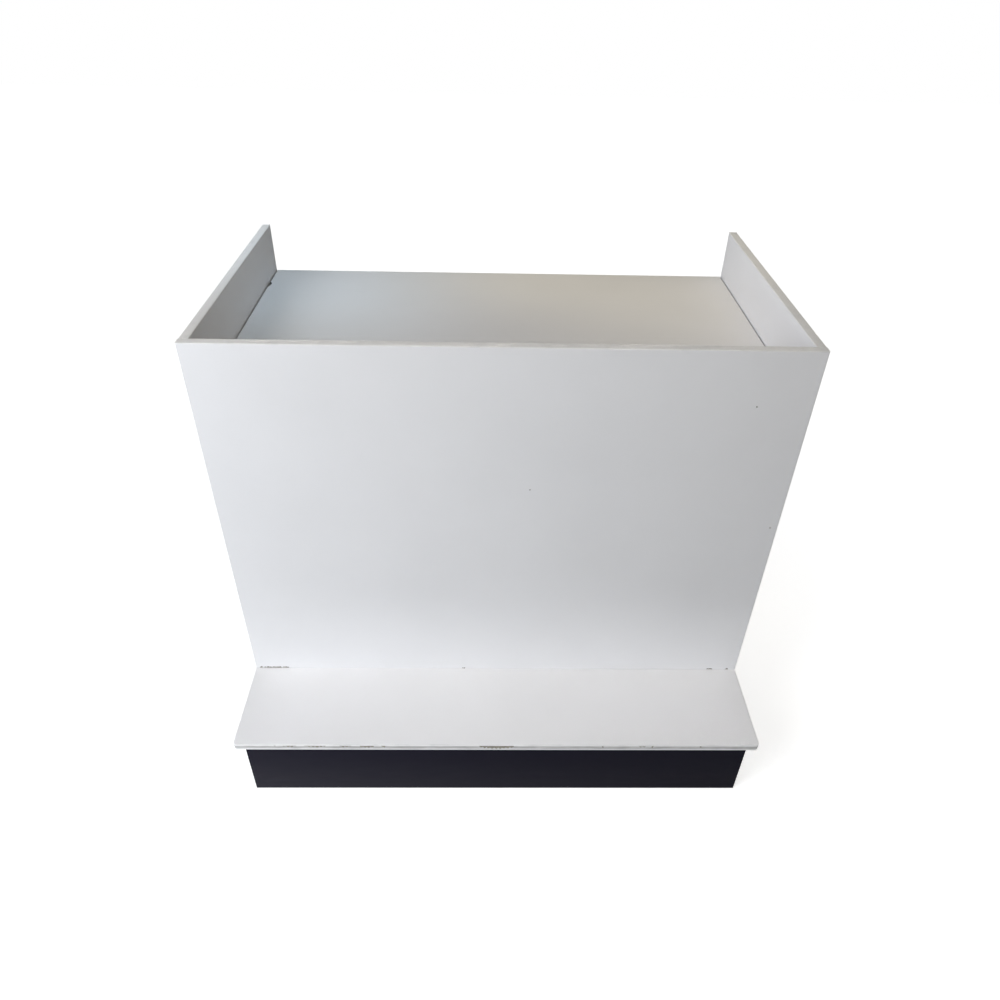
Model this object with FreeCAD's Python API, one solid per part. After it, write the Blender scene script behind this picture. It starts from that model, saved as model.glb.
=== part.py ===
import FreeCAD
import Part
import collections
import math
import os

# A free-standing service counter of laminated board, in millimetres, +Z up.
# Three panels stand in a U on a base deck and rise as a parapet round a recessed worktop.
# The deck runs out in front as a low ledge (towards -Y) and the rear (+Y) is open for the user.
# The origin lies on the floor under the middle of the outline.

Vector = FreeCAD.Vector
X = Vector(1, 0, 0)
Y = Vector(0, 1, 0)
Z = Vector(0, 0, 1)
SIDES = (("left", -1), ("right", 1))
ENDS = (("front", -1), ("rear", 1))

# Overall sizes
counter_width = 1220.0
counter_height = 1095.0
cabinet_depth = 688.0
ledge_depth = 227.0
ledge_height = 201.0
well_depth = 118.0

# Boards and their edge bands
board = 20.0
band = 2.0
band_arris_share = 0.75
ledge_corner = 8.0
worktop_gap = 1.0

# Plinth
kick_board = 18.0
kick_inset = 18.0
rail_lift = 20.0
rail_place_share = 1 / 6
block_size = 45.0
block_chamfer = 12.0
block_side_screw_shares = (0.45, 0.75)
block_end_screw_shares = (0.6, 0.9)

# Adjustable shelf and its pins
shelf_gap = 1.5
shelf_front_gap = 4.0
shelf_setback = 40.0
pin_inset = 80.0
pin_diameter = 5.0
pin_depth = 9.0
pin_collar = 9.0
pin_collar_thickness = 1.2
pin_tongue_length = 12.0
pin_tongue_width = 10.0
pin_tongue_thickness = 2.5
pin_tongue_round_share = 0.45
row_pitch = 32.0
row_count = 9

# Cleats under the worktop
cleat_width = 20.0
cleat_height = 25.0
cleat_chamfer = 6.0
cleat_setback = 30.0
cleat_screw_count = 4
worktop_screw_count = 3

# Cam connectors
cam_diameter = 15.0
cam_backset = 24.0
cam_below_bolt = 5.0
cam_recess = 0.5
cam_play = 0.2
cam_slot_start_deg = 100.0
cam_slot_sweep_deg = 200.0
cross_slot_length = 8.0
cross_slot_width = 1.6
cross_slot_depth = 3.0
bolt_thread = 5.0
bolt_bite = 11.0
bolt_shank = 6.6
bolt_neck = 3.6
bolt_head = 6.0
bolt_head_near = 1.2
bolt_head_length = 2.4
cap_diameter = 17.0
cap_thickness = 1.4
cap_bevel = 0.8
cap_spigot = 7.0

# Dowels
dowel_diameter = 8.0
dowel_in_face = 11.0
dowel_in_edge = 19.0
dowel_chamfer = 1.0

# Screws
screw_shank = 4.0
screw_head = 8.0
screw_head_depth = 2.4
screw_point = 4.0
screw_bite = 13.0
pan_head = 7.6
pan_height = 2.6
pan_round = 1.0

# Angle brackets between plinth and deck
bracket_leg = 30.0
bracket_width = 20.0
bracket_thickness = 2.0
bracket_bend = 2.0
bracket_corner = 4.0
bracket_hole_offset = 19.0
bracket_place_share = 1 / 3

# Levelers
pad_diameter = 40.0
pad_height = 9.0
pad_rim = 3.0
pad_crown = 18.0
pad_lift = 1.0
pad_floor = 3.0
stud_thread = 8.0
stud_boss = 12.0
stud_boss_height = 4.0
stud_chamfer = 1.0
stud_spare = 4.0
hex_across = 14.0
hex_height = 6.0
hex_gap = 0.5
insert_outer = 12.0
insert_length = 14.0
insert_flange = 18.0
insert_flange_thickness = 1.5
leveler_travel = 15.0
leveler_play = 0.1

# Where the connectors stand along each joint, as shares of the joint's length
upright_cam_shares = (0.12, 0.5, 0.9)
upright_dowel_shares = (0.28, 0.72)
front_cam_shares = (0.15, 0.5, 0.85)
front_dowel_shares = (0.07, 0.32, 0.68, 0.93)
side_cam_shares = (0.2, 0.8)
side_dowel_shares = (0.07, 0.93)
rail_dowel_shares = (0.25, 0.75)

# Play of every fitted piece in its hole, and how far a cutter runs past a face
slip = 0.05
end_play = 0.5
overrun = 5.0
full_turn_deg = 360.0
same_place = 1e-6

# Levels and planes worked out from the sizes above
half_width = counter_width / 2
y_rear = (cabinet_depth + ledge_depth) / 2
y_ledge = -y_rear
y_face = y_ledge + ledge_depth
y_bay = y_face + board
y_bands = y_rear - band
x_bay = half_width - board
z_deck = ledge_height
z_under_deck = z_deck - board
z_bands = counter_height - band
z_worktop = counter_height - well_depth
z_under_worktop = z_worktop - board
z_cleat = z_under_worktop - cleat_height
x_kick = half_width - kick_inset - kick_board
y_kick = y_rear - kick_inset - kick_board
z_pin = (z_deck + z_under_worktop - board) / 2
z_shelf = z_pin + pin_diameter / 2
y_shelf_front = y_bay + shelf_front_gap
y_shelf_rear = y_rear - shelf_setback
x_shelf = x_bay - shelf_gap
z_hex = pad_lift + pad_height + hex_gap
z_insert = z_hex + hex_height + hex_gap
z_block = z_insert + insert_flange_thickness
z_stud_top = z_block + insert_length + leveler_travel + stud_spare
cam_radius = cam_diameter / 2
cam_bore_depth = board / 2 + cam_below_bolt
bolt_head_far = bolt_head_near + bolt_head_length
cam_pocket_radius = math.hypot(bolt_head_far, bolt_head / 2) + cam_play

# A connector joins the face of one board to the edge of another.
# The point lies on the joint plane, inward leads into the edge, and cam_face is the outward
# normal of the face that the cam is let into (none for a plain dowel).
Seat = collections.namedtuple("Seat", "face edge point inward cam_face")
# A screw goes through the first board into the second.
Screw = collections.namedtuple("Screw", "first second point inward length")


def block(corner, opposite):
    """Board or bar between two opposite corners."""
    low = Vector(*map(min, corner, opposite))
    size = Vector(*map(max, corner, opposite)) - low
    return Part.makeBox(size.x, size.y, size.z, low)


def turned(profile, point, direction):
    """Turned piece: (radius, height) pairs about an axis that leaves point along direction."""
    corners = [Vector(radius, 0, height) for radius, height in profile]
    outline = Part.makePolygon(corners + corners[:1])
    solid = Part.Face(outline).revolve(Vector(), Z, full_turn_deg)
    solid.Placement = FreeCAD.Placement(point, FreeCAD.Rotation(Z, direction))
    return solid


def hole(diameter, depth, mouth, inward):
    """Drill for a fitted piece of this diameter that reaches this deep from the mouth."""
    length = overrun + depth + end_play
    return Part.makeCylinder(diameter / 2 + slip, length, mouth - inward * overrun, inward)


def along(start, end, share):
    """Place between two values."""
    return start + (end - start) * share


def even_shares(count):
    """Middles of equal stretches."""
    return [(index + 1 / 2) / count for index in range(count)]


def edges_where(shape, test):
    """Edges whose two ends both pass a test."""
    return [edge for edge in shape.Edges if all(test(corner.Point) for corner in edge.Vertexes)]


def edge_strip(corner, opposite, outward):
    """Edge band with its two long outer arrises rounded."""
    strip = block(corner, opposite)
    reach = max(vertex.Point.dot(outward) for vertex in strip.Vertexes)
    outer = edges_where(strip, lambda point: point.dot(outward) > reach - same_place)
    long_edges = sorted(outer, key=lambda edge: edge.Length)[-2:]
    return strip.makeFillet(band * band_arris_share, long_edges)


def deck_slab(inset):
    """Base deck outline, drawn in by inset, with its two front corners rounded in plan."""
    y_front = y_ledge + inset
    slab = block(Vector(inset - half_width, y_front, z_under_deck),
                 Vector(half_width - inset, y_bands, z_deck))
    corners = [edge for edge in edges_where(slab, lambda point: point.y < y_front + same_place)
               if abs(edge.tangentAt(edge.FirstParameter).z) > 1 / 2]
    return slab.makeFillet(ledge_corner - inset, corners)


def deck_bands():
    """Band wrapped round the ledge and both sides of the deck, and the strip on its rear edge."""
    outer = deck_slab(0)
    rims = [edge for edge in outer.Edges
            if abs(edge.tangentAt(edge.FirstParameter).z) < 1 / 2
            and min(vertex.Point.y for vertex in edge.Vertexes) < y_bands - same_place]
    wrap = outer.makeFillet(band * band_arris_share, rims).cut(deck_slab(band))
    rear = edge_strip(Vector(-half_width, y_bands, z_under_deck), Vector(half_width, y_rear, z_deck), Y)
    return [wrap, rear]


def front_bands():
    """Bands on the two upright edges and the top edge of the front panel."""
    strips = [edge_strip(Vector(side * (half_width - band), y_face, z_deck),
                         Vector(side * half_width, y_bay, z_bands), X * side) for _, side in SIDES]
    top = edge_strip(Vector(-half_width, y_face, z_bands), Vector(half_width, y_bay, counter_height), Z)
    return strips + [top]


def side_bands(side):
    """Bands on the top and rear edges of a side panel."""
    top = edge_strip(Vector(side * x_bay, y_bay, z_bands),
                     Vector(side * half_width, y_bands, counter_height), Z)
    rear = edge_strip(Vector(side * x_bay, y_bands, z_deck),
                      Vector(side * half_width, y_rear, counter_height), Y)
    return [top, rear]


def carcass_seats():
    """Connectors between the front panel, the side panels and the deck."""
    cams = []
    dowels = []
    x_front = half_width - board / 2
    y_front = y_face + board / 2
    for name, side in SIDES:
        panel = name + "_side_panel"
        x_side = side * x_front
        for share in upright_cam_shares:
            point = Vector(x_side, y_bay, along(z_deck, z_under_worktop, share))
            cams.append(Seat("front_panel", panel, point, Y, X * -side))
        for share in upright_dowel_shares:
            point = Vector(x_side, y_bay, along(z_deck, z_under_worktop, share))
            dowels.append(Seat("front_panel", panel, point, Y, None))
        well_middle = Vector(x_side, y_bay, along(z_worktop, counter_height, 1 / 2))
        dowels.append(Seat("front_panel", panel, well_middle, Y, None))
        for share in side_cam_shares:
            point = Vector(x_side, along(y_bay, y_bands, share), z_deck)
            cams.append(Seat("base_deck", panel, point, Z, X * -side))
        for share in side_dowel_shares:
            point = Vector(x_side, along(y_bay, y_bands, share), z_deck)
            dowels.append(Seat("base_deck", panel, point, Z, None))
    for share in front_cam_shares:
        point = Vector(along(-x_front, x_front, share), y_front, z_deck)
        cams.append(Seat("base_deck", "front_panel", point, Z, Y))
    for share in front_dowel_shares:
        point = Vector(along(-x_front, x_front, share), y_front, z_deck)
        dowels.append(Seat("base_deck", "front_panel", point, Z, None))
    return cams, dowels


def rail_seats():
    """Dowels that join the cross rails to the front and rear kick boards."""
    seats = []
    for name, side in SIDES:
        for end_name, end in ENDS:
            for share in rail_dowel_shares:
                point = Vector(side * counter_width * rail_place_share, end * y_kick,
                               along(rail_lift, z_under_deck, share))
                seats.append(Seat("kick_" + end_name, name + "_cross_rail", point, Y * -end, None))
    return seats


def seat_drills(seat):
    """Drills for one connector, listed by the board that they enter."""
    if seat.cam_face is None:
        return [(seat.face, hole(dowel_diameter, dowel_in_face, seat.point, seat.inward * -1)),
                (seat.edge, hole(dowel_diameter, dowel_in_edge, seat.point, seat.inward))]
    return [(seat.face, hole(bolt_thread, bolt_bite, seat.point, seat.inward * -1)),
            (seat.edge, hole(bolt_shank, cam_backset, seat.point, seat.inward)),
            (seat.edge, hole(cam_diameter, cam_bore_depth, cam_mouth(seat), seat.cam_face * -1))]


def cam_mouth(seat):
    """Middle of a cam's bore on the face that it is let into."""
    return seat.point + seat.inward * cam_backset + seat.cam_face * (board / 2)


def dowel(seat):
    """Chamfered wooden dowel across a joint."""
    radius = dowel_diameter / 2
    profile = [(0, -dowel_in_face), (radius - dowel_chamfer, -dowel_in_face),
               (radius, dowel_chamfer - dowel_in_face), (radius, dowel_in_edge - dowel_chamfer),
               (radius - dowel_chamfer, dowel_in_edge), (0, dowel_in_edge)]
    return turned(profile, seat.point, seat.inward)


def cam_bolt(seat):
    """Bolt screwed into a face, with a necked head that the cam draws in."""
    shank_end = cam_backset - cam_radius - cam_play
    neck_end = cam_backset - bolt_head_far
    tip = cam_backset - bolt_head_near
    profile = [(0, -bolt_bite), (bolt_thread / 2, -bolt_bite), (bolt_thread / 2, 0),
               (bolt_shank / 2, 0), (bolt_shank / 2, shank_end), (bolt_neck / 2, shank_end),
               (bolt_neck / 2, neck_end), (bolt_head / 2, neck_end), (bolt_head / 2, tip), (0, tip)]
    return turned(profile, seat.point, seat.inward)


def cam_housing(seat):
    """Round cam with a swept pocket for the bolt's head, a narrower slot for its neck and a cross slot."""
    body = Part.makeCylinder(cam_radius, cam_bore_depth - cam_recess, Vector(0, 0, -cam_bore_depth))
    cutters = []
    for radius, passing in ((cam_pocket_radius, bolt_head), (cam_radius + overrun, bolt_neck)):
        height = passing + cam_play * 2
        base = Vector(0, 0, -(board + height) / 2)
        sector = Part.makeCylinder(radius, height, base, Z, cam_slot_sweep_deg)
        sector.rotate(Vector(), Z, cam_slot_start_deg)
        cutters.append(sector)
    for length, width in ((cross_slot_length, cross_slot_width), (cross_slot_width, cross_slot_length)):
        cutters.append(block(Vector(-length / 2, -width / 2, -cam_recess - cross_slot_depth),
                             Vector(length / 2, width / 2, overrun)))
    cam = body.cut(cutters)
    turn = FreeCAD.Rotation(seat.inward, seat.cam_face.cross(seat.inward), seat.cam_face, "ZXY")
    cam.Placement = FreeCAD.Placement(cam_mouth(seat), turn)
    return cam


def cam_cap(seat):
    """Push-in cover cap over a cam."""
    radius = cap_diameter / 2
    profile = [(0, -cam_recess), (cap_spigot / 2, -cam_recess), (cap_spigot / 2, 0), (radius, 0),
               (radius, cap_thickness - cap_bevel), (radius - cap_bevel, cap_thickness), (0, cap_thickness)]
    return turned(profile, cam_mouth(seat), seat.cam_face)


def flat_screw(screw, play, room):
    """Countersunk screw, or with play and room the hole that takes it."""
    shank = screw_shank / 2 + play
    profile = [(0, 0), (screw_head / 2 + play, 0), (shank, screw_head_depth),
               (shank, screw.length - screw_point + room), (0, screw.length + room)]
    return turned(profile, screw.point, screw.inward)


def pan_screw(screw):
    """Round-headed screw that holds a bracket."""
    radius = pan_head / 2
    shank = screw_shank / 2
    profile = [(0, -pan_height), (radius - pan_round, -pan_height), (radius, pan_round - pan_height),
               (radius, 0), (shank, 0), (shank, screw.length - screw_point), (0, screw.length)]
    return turned(profile, screw.point, screw.inward)


def cleat_screws():
    """Screws through each cleat into the panel behind it."""
    screws = []
    length = cleat_width + screw_bite
    z_screw = along(z_cleat, z_under_worktop, 1 / 2)
    for share in even_shares(cleat_screw_count):
        for name, side in SIDES:
            point = Vector(side * (x_bay - cleat_width), along(*side_cleat_span(), share), z_screw)
            screws.append(Screw(name + "_cleat", name + "_side_panel", point, X * side, length))
        point = Vector(along(-x_bay, x_bay, share), y_bay + cleat_width, z_screw)
        screws.append(Screw("front_cleat", "front_panel", point, Y * -1, length))
    return screws


def worktop_screws():
    """Screws up through each cleat into the worktop."""
    screws = []
    length = cleat_height + screw_bite
    middle = cleat_width / 2
    for index in range(worktop_screw_count):
        share = (index + 1) / (worktop_screw_count + 1)
        for name, side in SIDES:
            point = Vector(side * (x_bay - middle), along(*side_cleat_span(), share), z_cleat)
            screws.append(Screw(name + "_cleat", "worktop", point, Z, length))
        point = Vector(along(-x_bay, x_bay, share), y_bay + middle, z_cleat)
        screws.append(Screw("front_cleat", "worktop", point, Z, length))
    return screws


def side_cleat_span():
    """Front and rear ends of a side cleat."""
    return y_bay + cleat_width, y_rear - cleat_setback


def cleat(corner, opposite, inner_face):
    """Softwood cleat with its lower inner arris planed off."""
    bar = block(corner, opposite)
    reach = max(vertex.Point.dot(inner_face) for vertex in bar.Vertexes)
    arris = edges_where(bar, lambda point: point.dot(inner_face) > reach - same_place
                        and point.z < z_cleat + same_place)
    return bar.makeChamfer(cleat_chamfer, arris)


def block_screws():
    """Screws from inside each plinth corner block into its two kick boards."""
    screws = []
    length = block_size + screw_bite
    middle = block_size / 2
    for name, side in SIDES:
        for end_name, end in ENDS:
            carrier = end_name + "_" + name + "_block"
            for share in block_side_screw_shares:
                point = Vector(side * (x_kick - block_size), end * (y_kick - middle),
                               along(z_block, z_under_deck, share))
                screws.append(Screw(carrier, "kick_" + name, point, X * side, length))
            for share in block_end_screw_shares:
                point = Vector(side * (x_kick - middle), end * (y_kick - block_size),
                               along(z_block, z_under_deck, share))
                screws.append(Screw(carrier, "kick_" + end_name, point, Y * end, length))
    return screws


def corner_block(side, end):
    """Plinth corner block, bored from below for a leveler, with its inner arris planed off."""
    inner = Vector(side * (x_kick - block_size), end * (y_kick - block_size), z_block)
    bar = block(inner, Vector(side * x_kick, end * y_kick, z_under_deck))
    arris = edges_where(bar, lambda point: abs(point.x - inner.x) < same_place
                        and abs(point.y - inner.y) < same_place)
    foot = leveler_foot(side, end) + Z * z_block
    stud_room = stud_thread + leveler_play * 2
    return bar.makeChamfer(block_chamfer, arris).cut(
        [hole(insert_outer, insert_length, foot, Z), hole(stud_room, z_stud_top - z_block, foot, Z)])


def leveler_foot(side, end):
    """Point on the floor under a leveler."""
    middle = block_size / 2
    return Vector(side * (x_kick - middle), end * (y_kick - middle), 0)


def leveler_pad(foot):
    """Moulded foot pad with a socket that the stud's boss snaps into and turns in."""
    rim = pad_diameter / 2
    crown = pad_crown / 2
    socket = stud_boss / 2 + leveler_play
    mouth = stud_thread / 2 + leveler_play
    socket_top = pad_floor + stud_boss_height + leveler_play
    profile = [(0, 0), (rim, 0), (rim, pad_rim), (crown, pad_height), (mouth, pad_height),
               (mouth, socket_top), (socket, socket_top), (socket, pad_floor), (0, pad_floor)]
    return turned(profile, foot + Z * pad_lift, Z)


def leveler_stud(foot):
    """Threaded stud with a boss for the pad and a hexagon for a spanner."""
    z_boss = pad_lift + pad_floor
    radius = stud_thread / 2
    profile = [(0, z_boss), (stud_boss / 2, z_boss), (stud_boss / 2, z_boss + stud_boss_height),
               (radius, z_boss + stud_boss_height), (radius, z_stud_top - stud_chamfer),
               (radius - stud_chamfer, z_stud_top), (0, z_stud_top)]
    sides = 6
    corner_radius = hex_across / 2 / math.cos(math.pi / sides)
    corners = []
    for index in range(sides + 1):
        angle = math.tau * index / sides
        corners.append(Vector(corner_radius * math.cos(angle), corner_radius * math.sin(angle), z_hex))
    nut = Part.Face(Part.makePolygon(corners)).extrude(Z * hex_height)
    nut.translate(foot)
    return turned(profile, foot, Z).fuse(nut).removeSplitter()


def leveler_insert(foot):
    """Flanged threaded bush pressed into the corner block from below."""
    bore = stud_thread / 2 + leveler_play
    outer = insert_outer / 2
    flange = insert_flange / 2
    top = insert_flange_thickness + insert_length
    profile = [(bore, 0), (flange, 0), (flange, insert_flange_thickness),
               (outer, insert_flange_thickness), (outer, top), (bore, top)]
    return turned(profile, foot + Z * z_insert, Z)


def bracket_places():
    """Corner points under the deck and the directions away from the kick boards."""
    places = []
    for name, side in SIDES:
        places.append(("kick_" + name, Vector(side * x_kick, 0, z_under_deck), X * -side))
        for end_name, end in ENDS:
            point = Vector(side * counter_width * bracket_place_share, end * y_kick, z_under_deck)
            places.append(("kick_" + end_name, point, Y * -end))
    return places


def bracket(point, away):
    """Folded steel angle, one leg on the kick board and one under the deck."""
    half = bracket_width / 2
    thick = bracket_thickness
    angle = block(Vector(-half, 0, -bracket_leg), Vector(half, bracket_leg, 0))
    angle = angle.cut(block(Vector(-half - overrun, thick, -bracket_leg - overrun),
                            Vector(half + overrun, bracket_leg + overrun, -thick)))
    outer_fold = edges_where(angle, lambda p: abs(p.y) < same_place and abs(p.z) < same_place)
    inner_fold = edges_where(angle, lambda p: abs(p.y - thick) < same_place
                             and abs(p.z + thick) < same_place)
    angle = angle.makeFillet(bracket_bend + thick, outer_fold).makeFillet(bracket_bend, inner_fold)
    ends = edges_where(angle, lambda p: p.z < same_place - bracket_leg or p.y > bracket_leg - same_place)
    short_ends = [edge for edge in ends if edge.Length < thick + same_place]
    angle = angle.makeFillet(bracket_corner, short_ends)
    angle = angle.cut([hole(screw_shank, thick, Vector(0, thick, -bracket_hole_offset), Y * -1),
                       hole(screw_shank, thick, Vector(0, bracket_hole_offset, -thick), Z)])
    angle.Placement = FreeCAD.Placement(point, FreeCAD.Rotation(Y, away))
    return angle


def bracket_screws():
    """One screw through each leg of each bracket."""
    screws = []
    length = bracket_thickness + screw_bite
    for kick, point, away in bracket_places():
        on_kick = point + away * bracket_thickness - Z * bracket_hole_offset
        on_deck = point + away * bracket_hole_offset - Z * bracket_thickness
        screws.append(Screw("bracket", kick, on_kick, away * -1, length))
        screws.append(Screw("bracket", "base_deck", on_deck, Z, length))
    return screws


def shelf_pin(side, y_pin):
    """Spoon pin: a shank in the panel, a collar on its face and a flat tongue under the shelf."""
    point = Vector(side * x_bay, y_pin, z_pin)
    radius = pin_diameter / 2
    profile = [(0, -pin_depth), (radius, -pin_depth), (radius, 0), (pin_collar / 2, 0),
               (pin_collar / 2, pin_collar_thickness), (0, pin_collar_thickness)]
    half = pin_tongue_width / 2
    x_tip = side * (x_bay - pin_collar_thickness - pin_tongue_length)
    tongue = block(Vector(side * x_bay, y_pin - half, z_shelf - pin_tongue_thickness),
                   Vector(x_tip, y_pin + half, z_shelf))
    tip = [edge for edge in edges_where(tongue, lambda p: abs(p.x - x_tip) < same_place)
           if abs(edge.tangentAt(edge.FirstParameter).z) > 1 / 2]
    tongue = tongue.makeFillet(pin_tongue_width * pin_tongue_round_share, tip)
    return turned(profile, point, X * -side).fuse(tongue).removeSplitter()


def pin_columns():
    """Distances from front to rear of the two rows of pin holes."""
    return y_shelf_front + pin_inset, y_shelf_rear - pin_inset


def pin_row_drills(side):
    """Rows of shelf pin holes in a side panel's inner face, centred on the shelf's own pins."""
    drills = []
    for y_pin in pin_columns():
        for index in range(row_count):
            z_hole = z_pin + (index - (row_count - 1) / 2) * row_pitch
            drills.append(hole(pin_diameter, pin_depth, Vector(side * x_bay, y_pin, z_hole), X * side))
    return drills


def boards():
    """Every board and bar before drilling, by name."""
    x_worktop = x_bay - worktop_gap
    x_rail = counter_width * rail_place_share
    x_front = half_width - band
    shapes = {
        "front_panel": block(Vector(-x_front, y_face, z_deck), Vector(x_front, y_bay, z_bands)),
        "worktop": block(Vector(-x_worktop, y_bay, z_under_worktop), Vector(x_worktop, y_bands, z_worktop)),
        "base_deck": deck_slab(band),
        "front_cleat": cleat(Vector(-x_bay, y_bay, z_cleat),
                             Vector(x_bay, y_bay + cleat_width, z_under_worktop), Y),
    }
    cleat_front, cleat_rear = side_cleat_span()
    for name, side in SIDES:
        shapes[name + "_side_panel"] = block(Vector(side * x_bay, y_bay, z_deck),
                                             Vector(side * half_width, y_bands, z_bands))
        shapes[name + "_cleat"] = cleat(Vector(side * x_bay, cleat_front, z_cleat),
                                        Vector(side * (x_bay - cleat_width), cleat_rear, z_under_worktop),
                                        X * -side)
        shapes["kick_" + name] = block(Vector(side * x_kick, -y_kick, 0),
                                       Vector(side * (x_kick + kick_board), y_kick, z_under_deck))
        shapes[name + "_cross_rail"] = block(Vector(side * x_rail - kick_board / 2, -y_kick, rail_lift),
                                             Vector(side * x_rail + kick_board / 2, y_kick, z_under_deck))
        for end_name, end in ENDS:
            shapes[end_name + "_" + name + "_block"] = corner_block(side, end)
    x_kick_end = x_kick + kick_board
    for end_name, end in ENDS:
        shapes["kick_" + end_name] = block(Vector(-x_kick_end, end * y_kick, 0),
                                           Vector(x_kick_end, end * (y_kick + kick_board), z_under_deck))
    return shapes


def drilled(shapes, seats, flat_screws, pan_screws):
    """The boards with the holes for every connector, screw and shelf pin."""
    drills = collections.defaultdict(list)
    for seat in seats:
        for name, tool in seat_drills(seat):
            drills[name].append(tool)
    for screw in flat_screws:
        tool = flat_screw(screw, slip, end_play)
        drills[screw.first].append(tool)
        drills[screw.second].append(tool)
    for screw in pan_screws:
        face = screw.point + screw.inward * bracket_thickness
        drills[screw.second].append(hole(screw_shank, screw.length - bracket_thickness, face, screw.inward))
    for name, side in SIDES:
        drills[name + "_side_panel"] += pin_row_drills(side)
    return {name: shape.cut(drills[name]) if drills[name] else shape for name, shape in shapes.items()}


def counter_pieces():
    """Every piece of the counter, by name: one shape, or a list of like ones."""
    cams, dowels = carcass_seats()
    rails = rail_seats()
    cleats = cleat_screws()
    tops = worktop_screws()
    corners = block_screws()
    angles = bracket_screws()
    pieces = drilled(boards(), cams + dowels + rails, cleats + tops + corners, angles)
    pieces["plinth_cross_rails"] = [pieces.pop(name + "_cross_rail") for name, _ in SIDES]
    pieces["plinth_corner_blocks"] = [pieces.pop(end_name + "_" + name + "_block")
                                      for name, _ in SIDES for end_name, _ in ENDS]
    pieces["front_panel_edge_bands"] = front_bands()
    for name, side in SIDES:
        pieces[name + "_side_edge_bands"] = side_bands(side)
    x_worktop = x_bay - worktop_gap
    pieces["worktop_edge_band"] = edge_strip(Vector(-x_worktop, y_bands, z_under_worktop),
                                             Vector(x_worktop, y_rear, z_worktop), Y)
    pieces["deck_edge_bands"] = deck_bands()
    z_shelf_top = z_shelf + board
    y_shelf_band = y_shelf_rear - band
    pieces["adjustable_shelf"] = block(Vector(-x_shelf, y_shelf_front, z_shelf),
                                       Vector(x_shelf, y_shelf_band, z_shelf_top))
    pieces["shelf_edge_band"] = edge_strip(Vector(-x_shelf, y_shelf_band, z_shelf),
                                           Vector(x_shelf, y_shelf_rear, z_shelf_top), Y)
    pieces["shelf_pins"] = [shelf_pin(side, y_pin) for _, side in SIDES for y_pin in pin_columns()]
    pieces["cam_housings"] = [cam_housing(seat) for seat in cams]
    pieces["cam_bolts"] = [cam_bolt(seat) for seat in cams]
    pieces["cam_caps"] = [cam_cap(seat) for seat in cams]
    pieces["carcass_dowels"] = [dowel(seat) for seat in dowels]
    pieces["plinth_dowels"] = [dowel(seat) for seat in rails]
    pieces["cleat_screws"] = [flat_screw(screw, 0, 0) for screw in cleats]
    pieces["worktop_screws"] = [flat_screw(screw, 0, 0) for screw in tops]
    pieces["corner_block_screws"] = [flat_screw(screw, 0, 0) for screw in corners]
    pieces["deck_brackets"] = [bracket(point, away) for _, point, away in bracket_places()]
    pieces["bracket_screws"] = [pan_screw(screw) for screw in angles]
    inserts = []
    for name, side in SIDES:
        for end_name, end in ENDS:
            foot = leveler_foot(side, end)
            inserts.append(leveler_insert(foot))
            pieces["leveler_pad_" + end_name + "_" + name] = leveler_pad(foot)
            pieces["leveler_stud_" + end_name + "_" + name] = leveler_stud(foot)
    pieces["leveler_inserts"] = inserts
    return pieces


def main():
    """Write each piece to its own file."""
    os.makedirs("parts", exist_ok=True)
    for name, shape in counter_pieces().items():
        group = shape if isinstance(shape, list) else [shape]
        solids = [solid for piece in group for solid in piece.Solids]
        whole = solids[0] if len(solids) == 1 else Part.makeCompound(solids)
        whole.exportStep("parts/" + name + ".step")


main()
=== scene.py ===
"""Looks of a white service counter of laminated board, dressed round its packed construction.

Everything is in metres in the part's own frame: +Z up, the front towards -Y, the origin on the floor.
"""

import logging
import math
import random
from dataclasses import dataclass, replace
from enum import Enum

import bmesh
import bpy
from mathutils import Matrix, Vector


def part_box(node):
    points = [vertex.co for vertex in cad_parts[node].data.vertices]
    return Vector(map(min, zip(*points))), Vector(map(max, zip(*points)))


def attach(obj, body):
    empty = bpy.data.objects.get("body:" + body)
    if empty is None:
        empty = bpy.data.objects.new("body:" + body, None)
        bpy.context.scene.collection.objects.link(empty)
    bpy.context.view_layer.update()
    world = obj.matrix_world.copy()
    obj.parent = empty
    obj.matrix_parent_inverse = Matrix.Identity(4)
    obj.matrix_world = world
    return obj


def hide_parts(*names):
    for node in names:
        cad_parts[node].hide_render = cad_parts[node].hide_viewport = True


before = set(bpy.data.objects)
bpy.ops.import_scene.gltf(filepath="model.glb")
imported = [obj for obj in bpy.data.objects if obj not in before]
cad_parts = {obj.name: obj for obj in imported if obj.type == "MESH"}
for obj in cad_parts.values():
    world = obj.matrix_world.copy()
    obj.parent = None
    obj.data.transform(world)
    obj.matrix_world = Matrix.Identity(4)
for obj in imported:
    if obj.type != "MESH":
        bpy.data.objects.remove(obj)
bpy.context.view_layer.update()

MM = 0.001
TOUCH = 0.01 * MM
FLAT = math.radians(0.2)
SMOOTH_DEG = 35.0
UP = Vector((0, 0, 1))
WHITE = "#FFFFFF"

Shape = bmesh.types.BMesh
Edge = bmesh.types.BMEdge
Vertex = bmesh.types.BMVert
Tree = bpy.types.NodeTree
Socket = bpy.types.NodeSocket
Inputs = dict[str | int, object]
Corners = tuple[Vector, Vector]
Span = tuple[float, float]
Triple = tuple[float, float, float]


class Axis(Enum):
    """A direction of the part's frame."""

    X = 0
    Y = 1
    Z = 2

    def vector(self) -> Vector:
        """Unit vector along this axis."""
        return Vector([float(index == self.value) for index in range(3)])


class Body(Enum):
    """What a piece moves with."""

    CARCASS = "carcass"
    SHELF = "shelf"


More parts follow.
